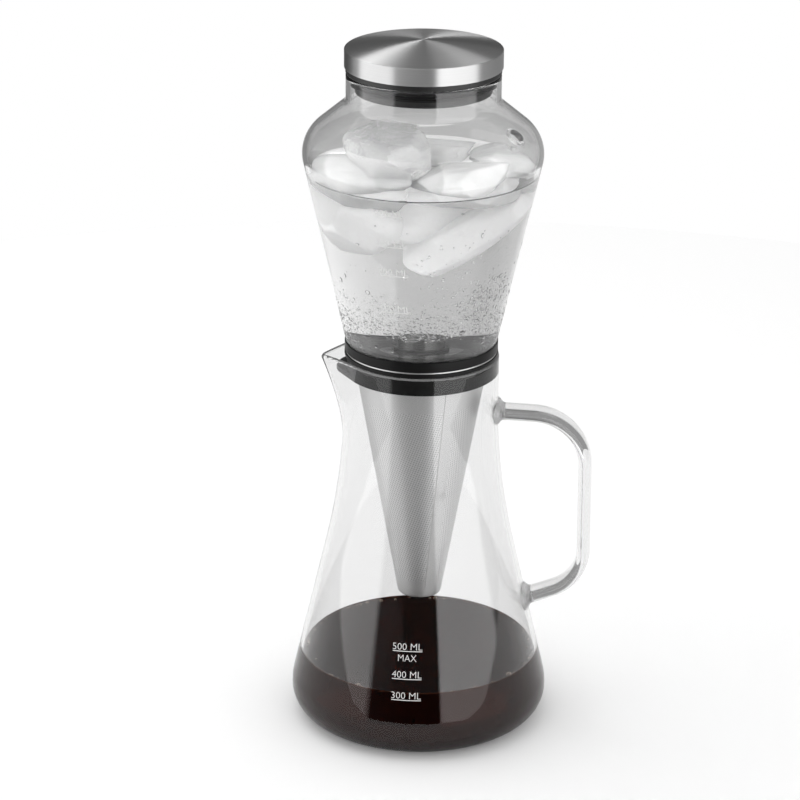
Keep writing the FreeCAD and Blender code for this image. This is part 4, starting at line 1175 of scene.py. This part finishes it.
# Each drop lies flat on the wall: it is stretched along the wall both ways, and stands off it by a little.
low_wall = (reservoir_outer[:, 0] > LOW_WALL_RADIUS) & (reservoir_outer[:, 1] < LOW_WALL_TOP)
dew_reach, out, rise = (
    np.interp(dew_heights, reservoir_outer[low_wall, 1], column[low_wall])
    for column in (reservoir_outer[:, 0], *reservoir_normals.T)
)
sideways = about_axis(1.0, dew_turns + np.pi / 2, 0.0)
outward = about_axis(out, dew_turns, rise)
dew_axes = np.stack(
    [
        sideways * dice.uniform(*DEW_LENGTHS, (len(dew_turns), 1)),
        np.cross(outward, sideways) * dice.uniform(*DEW_WIDTHS, (len(dew_turns), 1)),
        outward * np.clip(DEW_STAND / dew_sizes, *DEW_FLATNESS)[:, None],
    ],
    1,
)
dew_place = about_axis(dew_reach, dew_turns, dew_heights)
dew = beads("wall_dew", dew_place, dew_sizes, "reservoir", dew_axes, rows=4, columns=7)
dew.data.materials.append(clear)

# Lid plug. Black moulded polypropylene with a flange that rests on the glass rim under the steel cap.
CAP_RADIUS = 36.2
CAP_HEIGHT = 8.3
CAP_SHEET = 0.6
CAP_EDGE_ROUND = 0.5
CAP_CROWN_RISE = 4.2
BRUSH_MARK = 0.35
CROWN_ARC_SHARE = 0.96
LINER_FLANGE_THICKNESS = 2.7
PLUG_RADIUS = 31.3
PLUG_DEPTH = 8.6
PLUG_WALL = 2.2
SEAL_GROOVE_DEPTH = 0.8
SEAL_HEIGHT = 5.0
SEAL_TOP_GAP = 0.6
SEAL_NECK_CLEARANCE = 0.2
SEAL_BODY_STAND = 0.5
SEAL_LIP_THICKNESS = 0.8

flange_low = seat + RESERVOIR_HEIGHT
cap_low = flange_low + LINER_FLANGE_THICKNESS
cap_top = cap_low + CAP_HEIGHT
liner_radius = CAP_RADIUS - CAP_SHEET
crown_top = cap_top + CAP_CROWN_RISE
plug_low = flange_low - PLUG_DEPTH
seal_top = flange_low - SEAL_TOP_GAP
seal_low = seal_top - SEAL_HEIGHT
groove_floor = PLUG_RADIUS - SEAL_GROOVE_DEPTH
plug_inner = groove_floor - PLUG_WALL


def crown(radius, top, corner=0.0):
    """Corners of a shallow dome from the axis out to a radius, as curved as the cap's top.

    Its rise grows with the square of the radius. The arc's centre is on the axis, and a short straight
    slope joins the arc to the last corner.
    """
    rise = CAP_CROWN_RISE * (radius / CAP_RADIUS) ** 2
    middle = radius * CROWN_ARC_SHARE / 2
    bend = middle / math.tan(math.atan2(rise, radius - middle) / 2)
    return [(0, top, 0), (middle, top, bend), (radius, top - rise, corner)]


plug_profile, _ = rounded_run(
    crown(plug_inner, crown_top - CAP_SHEET - PLUG_WALL, 0.5)
    + [
        (plug_inner, plug_low, 0.5),
        (PLUG_RADIUS, plug_low, 0.8),
        (PLUG_RADIUS, seal_low, 0.15),
        (groove_floor, seal_low, 0),
        (groove_floor, seal_top, 0),
        (PLUG_RADIUS, seal_top, 0.15),
        (PLUG_RADIUS, flange_low, 0.2),
        (liner_radius, flange_low, 0.6),
    ]
    + crown(liner_radius, crown_top - CAP_SHEET)[::-1]
)
plug = skin("lid_plug_moulding", turned(plug_profile), "lid")
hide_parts("lid_plug")
plug.data.materials.append(plastic)

# Lid seal. A black silicone ring in the plug's groove, with two thin lips that wipe the neck.
seal_radius = PLUG_RADIUS + SEAL_BODY_STAND
lip_radius = RESERVOIR_NECK_RADIUS - RESERVOIR_WALL - SEAL_NECK_CLEARANCE
lip_gap = (SEAL_HEIGHT - 2 * SEAL_LIP_THICKNESS) / 3
seal_corners = [(groove_floor, seal_low, 0), (seal_radius, seal_low, 0.2)]
for low in (seal_low + lip_gap, seal_top - lip_gap - SEAL_LIP_THICKNESS):
    high = low + SEAL_LIP_THICKNESS
    seal_corners += [(seal_radius, low, 0.2), (lip_radius, low, 0.3)]
    seal_corners += [(lip_radius, high, 0.3), (seal_radius, high, 0.2)]
seal_corners += [(seal_radius, seal_top, 0.2), (groove_floor, seal_top, 0)]
seal_profile, _ = rounded_run(seal_corners, arc_step=15.0)
seal = skin("lid_seal_ring", turned(seal_profile), "lid", True)
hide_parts("lid_seal")
seal.data.materials.append(rubber)

# Lid cap. A drawn stainless cup with a shallow dome for its top, pressed over the plug. Its top and side
# are both brushed round the axis.
cap_profile, _ = rounded_run(
    crown(liner_radius, crown_top - CAP_SHEET)
    + [
        (liner_radius, cap_low, 0),
        (CAP_RADIUS, cap_low, 0.15),
        (CAP_RADIUS, cap_top, CAP_EDGE_ROUND),
    ]
    + crown(CAP_RADIUS, crown_top)[1::-1],
    arc_step=0.8,
    straight_step=1.5,
)
cap = skin("lid_cap_shell", turned(cap_profile), "lid")
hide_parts("lid_cap")

# Stainless steel brushed in circles: light spreads across the brush marks, so the top shows wedges that
# meet in the middle and the side shows upright bands.
brushed, node = new_material("circle_brushed_stainless")
place = node("TexCoord").outputs["Object"]
parts = node("SeparateXYZ", Vector=place)
flat_reach = node("CombineXYZ", X=parts.outputs["X"], Y=parts.outputs["Y"])
reach = node("VectorMath", operation="LENGTH", i0=flat_reach)
groove_place = node("CombineXYZ", X=reach.outputs["Value"], Z=parts.outputs["Z"])
grooves = node("TexNoise", Vector=groove_place, Scale=1 / (BRUSH_MARK * MM), Detail=2.0)
tone = node("MixRGB", Fac=grooves, Color1="#C4C4C4", Color2="#D2D2D2")
gloss = node("MapRange", Value=grooves, To_Min=0.33, To_Max=0.40)
dent = node("Bump", Height=grooves, Strength=0.08, Distance=0.02 * MM)
brush_way = node("Tangent", direction_type="RADIAL", axis="Z")
shader = node(
    "BsdfPrincipled", Base_Color=tone, Metallic=1.0, Roughness=gloss, Anisotropic=0.97,
    Anisotropic_Rotation=0.25, Tangent=brush_way, Normal=dent,
)
node("OutputMaterial", Surface=shader)
cap.data.materials.append(brushed)

# Studio. A round white table under a soft dome and a lamp overhead. Walls stand round the table, nearer in
# front, and carry two softboxes, a black flag between them, a grey backdrop and a ceiling. Only mirrors and
# glass see the walls: one set of tones in a mirror, one through clear glass, and one in a rim or rod of
# glass. The camera and matt surfaces see the table, the dome and the lamp.
CAMERA_BEARING = FRONT_BEARING
TABLE_RADIUS = 0.78
WALL_FRONT = 0.38
WALL_BACK = 0.80
CEILING = 1.15
# Tones go round the walls by bearings in degrees off the camera's, in a mirror at each of some heights.
MIRROR_HEIGHTS = (0.10, 0.22, 0.42, 0.60)
MIRROR_TONES = (
    (-180, 0.60, 0.01, 0.01, 0.24), (-166, 0.60, 0.01, 0.01, 0.24), (-158, 0.10, 0.04, 0.06, 0.20),
    (-124, 0.08, 0.08, 0.08, 0.20), (-118, 0.42, 0.42, 0.42, 0.42), (-106, 0.42, 0.42, 0.42, 0.42),
    (-100, 1.75, 1.75, 1.75, 1.75), (-46, 1.60, 1.60, 1.60, 1.60), (-40, 0.05, 0.10, 1.15, 1.15),
    (-12, 0.02, 0.05, 0.75, 0.75), (17, 0.02, 0.05, 0.55, 0.55), (20, 2.05, 2.05, 2.05, 2.05),
    (80, 1.80, 1.80, 1.80, 1.80), (86, 0.36, 0.34, 0.30, 0.30), (120, 0.30, 0.26, 0.20, 0.22),
    (158, 0.35, 0.34, 0.30, 0.20), (166, 0.60, 0.01, 0.01, 0.24), (180, 0.60, 0.01, 0.01, 0.24),
)
CLEAR_TONES = (
    (-180, 0.52), (-166, 0.50), (-156, 0.36), (-138, 0.38), (-128, 0.80), (-90, 1.00), (90, 1.00),
    (128, 0.85), (146, 0.75), (166, 0.58), (180, 0.52),
)
CEILING_TONES = (
    (-180, 0.10), (-170, 0.14), (-161, 3.20), (-132, 3.20), (-122, 0.34), (122, 0.30), (132, 1.30),
    (161, 1.30), (170, 0.14), (180, 0.10),
)
CEILING_MIDDLE = 0.2
BOX_HIGH = 0.85
RIM_BEHIND = 112
RIM_WALL = 0.28
RIM_FRONT = 1.25
RIM_CEILING = 0.12
INNER_FILL = 3.6
DOME = 0.85
TABLE_LIFT = 0.115
TABLE_COLUMNS = 128
STUDIO_COLUMNS = 361
LAMP_SIZE = 1.1
LAMP_POWER = 4.0
LAMP_REACH = 0.42
LAMP_HEIGHT = 1.25
LAMP_BEARING = CAMERA_BEARING - 105

wall_angles = np.linspace(-180, 180, STUDIO_COLUMNS)
facing = np.radians(wall_angles + CAMERA_BEARING)
wall_rows = np.array(
    [(1, -0.6), (1, 0.0), (1, 0.1), (1, 0.14), (1, 0.18), (1, 0.22), (1, 0.5), (1, BOX_HIGH), (1, 0.9),
     (1, CEILING), (0.5, CEILING), (0, CEILING)]
)
spread = WALL_FRONT + (WALL_BACK - WALL_FRONT) * (1 - np.cos(np.radians(wall_angles))) / 2
points = about_axis(wall_rows[:, :1] * spread, facing, wall_rows[:, 1:])
overhead = wall_rows[:, 1:] > BOX_HIGH
bearings, *at_heights = np.array(MIRROR_TONES).T
at_heights = np.stack([np.interp(wall_angles, bearings, tones) for tones in at_heights], 1)
mirror_tone = np.array(
    [[np.interp(height, MIRROR_HEIGHTS, tones) for tones in at_heights] for height in wall_rows[:, 1]]
)
mirror_tone = np.where(overhead, np.interp(wall_angles, *np.array(CEILING_TONES).T), mirror_tone)
mirror_tone = np.where(wall_rows[:, :1] < 1, CEILING_MIDDLE, mirror_tone)
clear_tone = np.repeat(np.interp(wall_angles, *np.array(CLEAR_TONES).T)[None], len(wall_rows), 0)
rim_tone = np.where(np.abs(wall_angles) > RIM_BEHIND, RIM_WALL, mirror_tone * RIM_FRONT)
rim_tone = np.where(overhead, RIM_CEILING, rim_tone)
walls_mesh = bpy.data.meshes.new("studio_walls")
walls_mesh.from_pydata(points.reshape(-1, 3).tolist(), [], cells(numbered(points), False, False).tolist())
for name, tones in (("mirror_tone", mirror_tone), ("clear_tone", clear_tone), ("rim_tone", rim_tone)):
    shade = walls_mesh.attributes.new(name, "FLOAT", "POINT")
    shade.data.foreach_set("value", tones.reshape(-1).astype(np.float32))
walls = bpy.data.objects.new("studio_walls", walls_mesh)
scene.collection.objects.link(walls)
walls.visible_camera = False
walls.visible_diffuse = False
walls.visible_shadow = False

# Light of the walls, by the ray's way there. It takes the mirror's tones after a bounce off a surface, the
# clear ones through glass, and the rim's after one bounce within one skin of glass. After more bounces
# within one skin it is a rod, which counts as clear. Matt surfaces see it only through glass, as one fill.
wall_light, node = new_material("studio_wall_light")
path = node("LightPath")
bounces = path.outputs["Glossy Depth"]
skins = path.outputs["Transmission Depth"]
in_mirror, through_glass, in_rim = (
    node("Attribute", attribute_name=name).outputs["Fac"]
    for name in ("mirror_tone", "clear_tone", "rim_tone")
)
mirrored = node("Math", operation="GREATER_THAN", i0=bounces, i1=0.5)
many_bounces = node("Math", operation="GREATER_THAN", i0=bounces, i1=1.5)
one_bounce = node("Math", operation="COMPARE", i0=bounces, i1=1.0, i2=0.1)
few_skins = node("Math", operation="LESS_THAN", i0=skins, i1=2.5)
crossed = node("Math", operation="GREATER_THAN", i0=skins, i1=0.5)
within = node("Math", operation="MULTIPLY", i0=few_skins, i1=crossed)
in_rod = node("Math", operation="MULTIPLY", i0=within, i1=many_bounces)
edge_on = node("Math", operation="MULTIPLY", i0=within, i1=one_bounce)
mirrored = node("Math", operation="SUBTRACT", use_clamp=True, i0=mirrored, i1=in_rod)
level = node("Mix", data_type="FLOAT", i0=mirrored, i2=through_glass, i3=in_mirror)
level = node("Mix", data_type="FLOAT", i0=edge_on, i2=level, i3=in_rim)
matt = node("Math", operation="GREATER_THAN", i0=path.outputs["Diffuse Depth"], i1=0.5)
level = node("Mix", data_type="FLOAT", i0=matt, i2=level, i3=INNER_FILL)
glow = node("Emission", Color="#FFFFFF", Strength=level)
open_air = node("Math", operation="SUBTRACT", i0=1.0, i1=path.outputs["Is Transmission Ray"])
matt_seen = node("Math", operation="MULTIPLY", i0=matt, i1=open_air)
nothing = node("BsdfTransparent")
choice = node("MixShader", i0=matt_seen, i1=glow, i2=nothing)
node("OutputMaterial", Surface=choice)
walls_mesh.materials.append(wall_light)

table_edge = about_axis(TABLE_RADIUS, np.linspace(0, 2 * np.pi, TABLE_COLUMNS, endpoint=False), 0.0)
floor_mesh = bpy.data.meshes.new("floor")
floor_mesh.from_pydata(table_edge.tolist(), [], [tuple(range(TABLE_COLUMNS))])
floor = bpy.data.objects.new("floor", floor_mesh)
scene.collection.objects.link(floor)
table_top, node = new_material("white_table")
matt = node("BsdfDiffuse", Color="#F3F3F3")
path = node("LightPath")
lift = node("Math", operation="MULTIPLY", i0=path.outputs["Is Camera Ray"], i1=TABLE_LIFT)
glow = node("Emission", Color="#FFFFFF", Strength=lift)
sum_light = node("AddShader", i0=matt, i1=glow)
node("OutputMaterial", Surface=sum_light)
floor_mesh.materials.append(table_top)

world = bpy.data.worlds.new("studio")
scene.world = world
world.use_nodes = True
node = emptied(world.node_tree)
path = node("LightPath")
seen = path.outputs["Is Camera Ray"]
for ray in ("Is Glossy Ray", "Is Transmission Ray"):
    seen = node("Math", operation="MAXIMUM", i0=seen, i1=path.outputs[ray])
fill = node("Background", Color="#FFFFFF", Strength=DOME)
white = node("Background", Color="#FFFFFF", Strength=1.0)
choice = node("MixShader", i0=seen, i1=fill, i2=white)
node("OutputWorld", Surface=choice)

lamp_data = bpy.data.lights.new("overhead", "AREA")
lamp_data.shape = "DISK"
lamp_data.size = LAMP_SIZE
lamp_data.energy = LAMP_POWER
lamp = bpy.data.objects.new("overhead", lamp_data)
lamp.location = about_axis(LAMP_REACH, math.radians(LAMP_BEARING), LAMP_HEIGHT)
lamp.rotation_euler = (-lamp.location).to_track_quat("-Z", "Y").to_euler()
lamp.visible_glossy = False
lamp.visible_camera = False
scene.collection.objects.link(lamp)

# Camera. It stands in front of the set, turned a little towards the handle, and looks down at it. A long
# lens keeps the walls of the glasses nearly parallel.
IMAGE_PIXELS = 800
SENSOR_WIDTH = 36.0
FOCAL_PIXELS = 3168.7
CAMERA_DISTANCE = 1395.0
CAMERA_HEIGHT = 691.53
CAMERA_YAW = 0.4045
CAMERA_PITCH = 20.8946
CAMERA_ROLL = 0.3594

yaw = math.radians(CAMERA_BEARING + 90 + CAMERA_YAW)
pitch = math.radians(CAMERA_PITCH)
roll = math.radians(CAMERA_ROLL)
level_right = Vector((math.cos(yaw), math.sin(yaw), 0))
level_ahead = Vector((-math.sin(yaw), math.cos(yaw), 0))
ahead = level_ahead * math.cos(pitch) - Vector((0, 0, math.sin(pitch)))
upright = level_ahead * math.sin(pitch) + Vector((0, 0, math.cos(pitch)))
right = level_right * math.cos(roll) + upright * math.sin(roll)
up = upright * math.cos(roll) - level_right * math.sin(roll)
place = Vector(about_axis(CAMERA_DISTANCE, math.radians(CAMERA_BEARING), CAMERA_HEIGHT))
camera_data = bpy.data.cameras.new("camera")
camera_data.sensor_width = SENSOR_WIDTH
camera_data.lens = FOCAL_PIXELS / IMAGE_PIXELS * SENSOR_WIDTH
camera_data.clip_end = 50
camera = bpy.data.objects.new("camera", camera_data)
camera.matrix_world = Matrix.Translation(place * MM) @ Matrix((right, up, -ahead)).transposed().to_4x4()
scene.collection.objects.link(camera)
scene.camera = camera
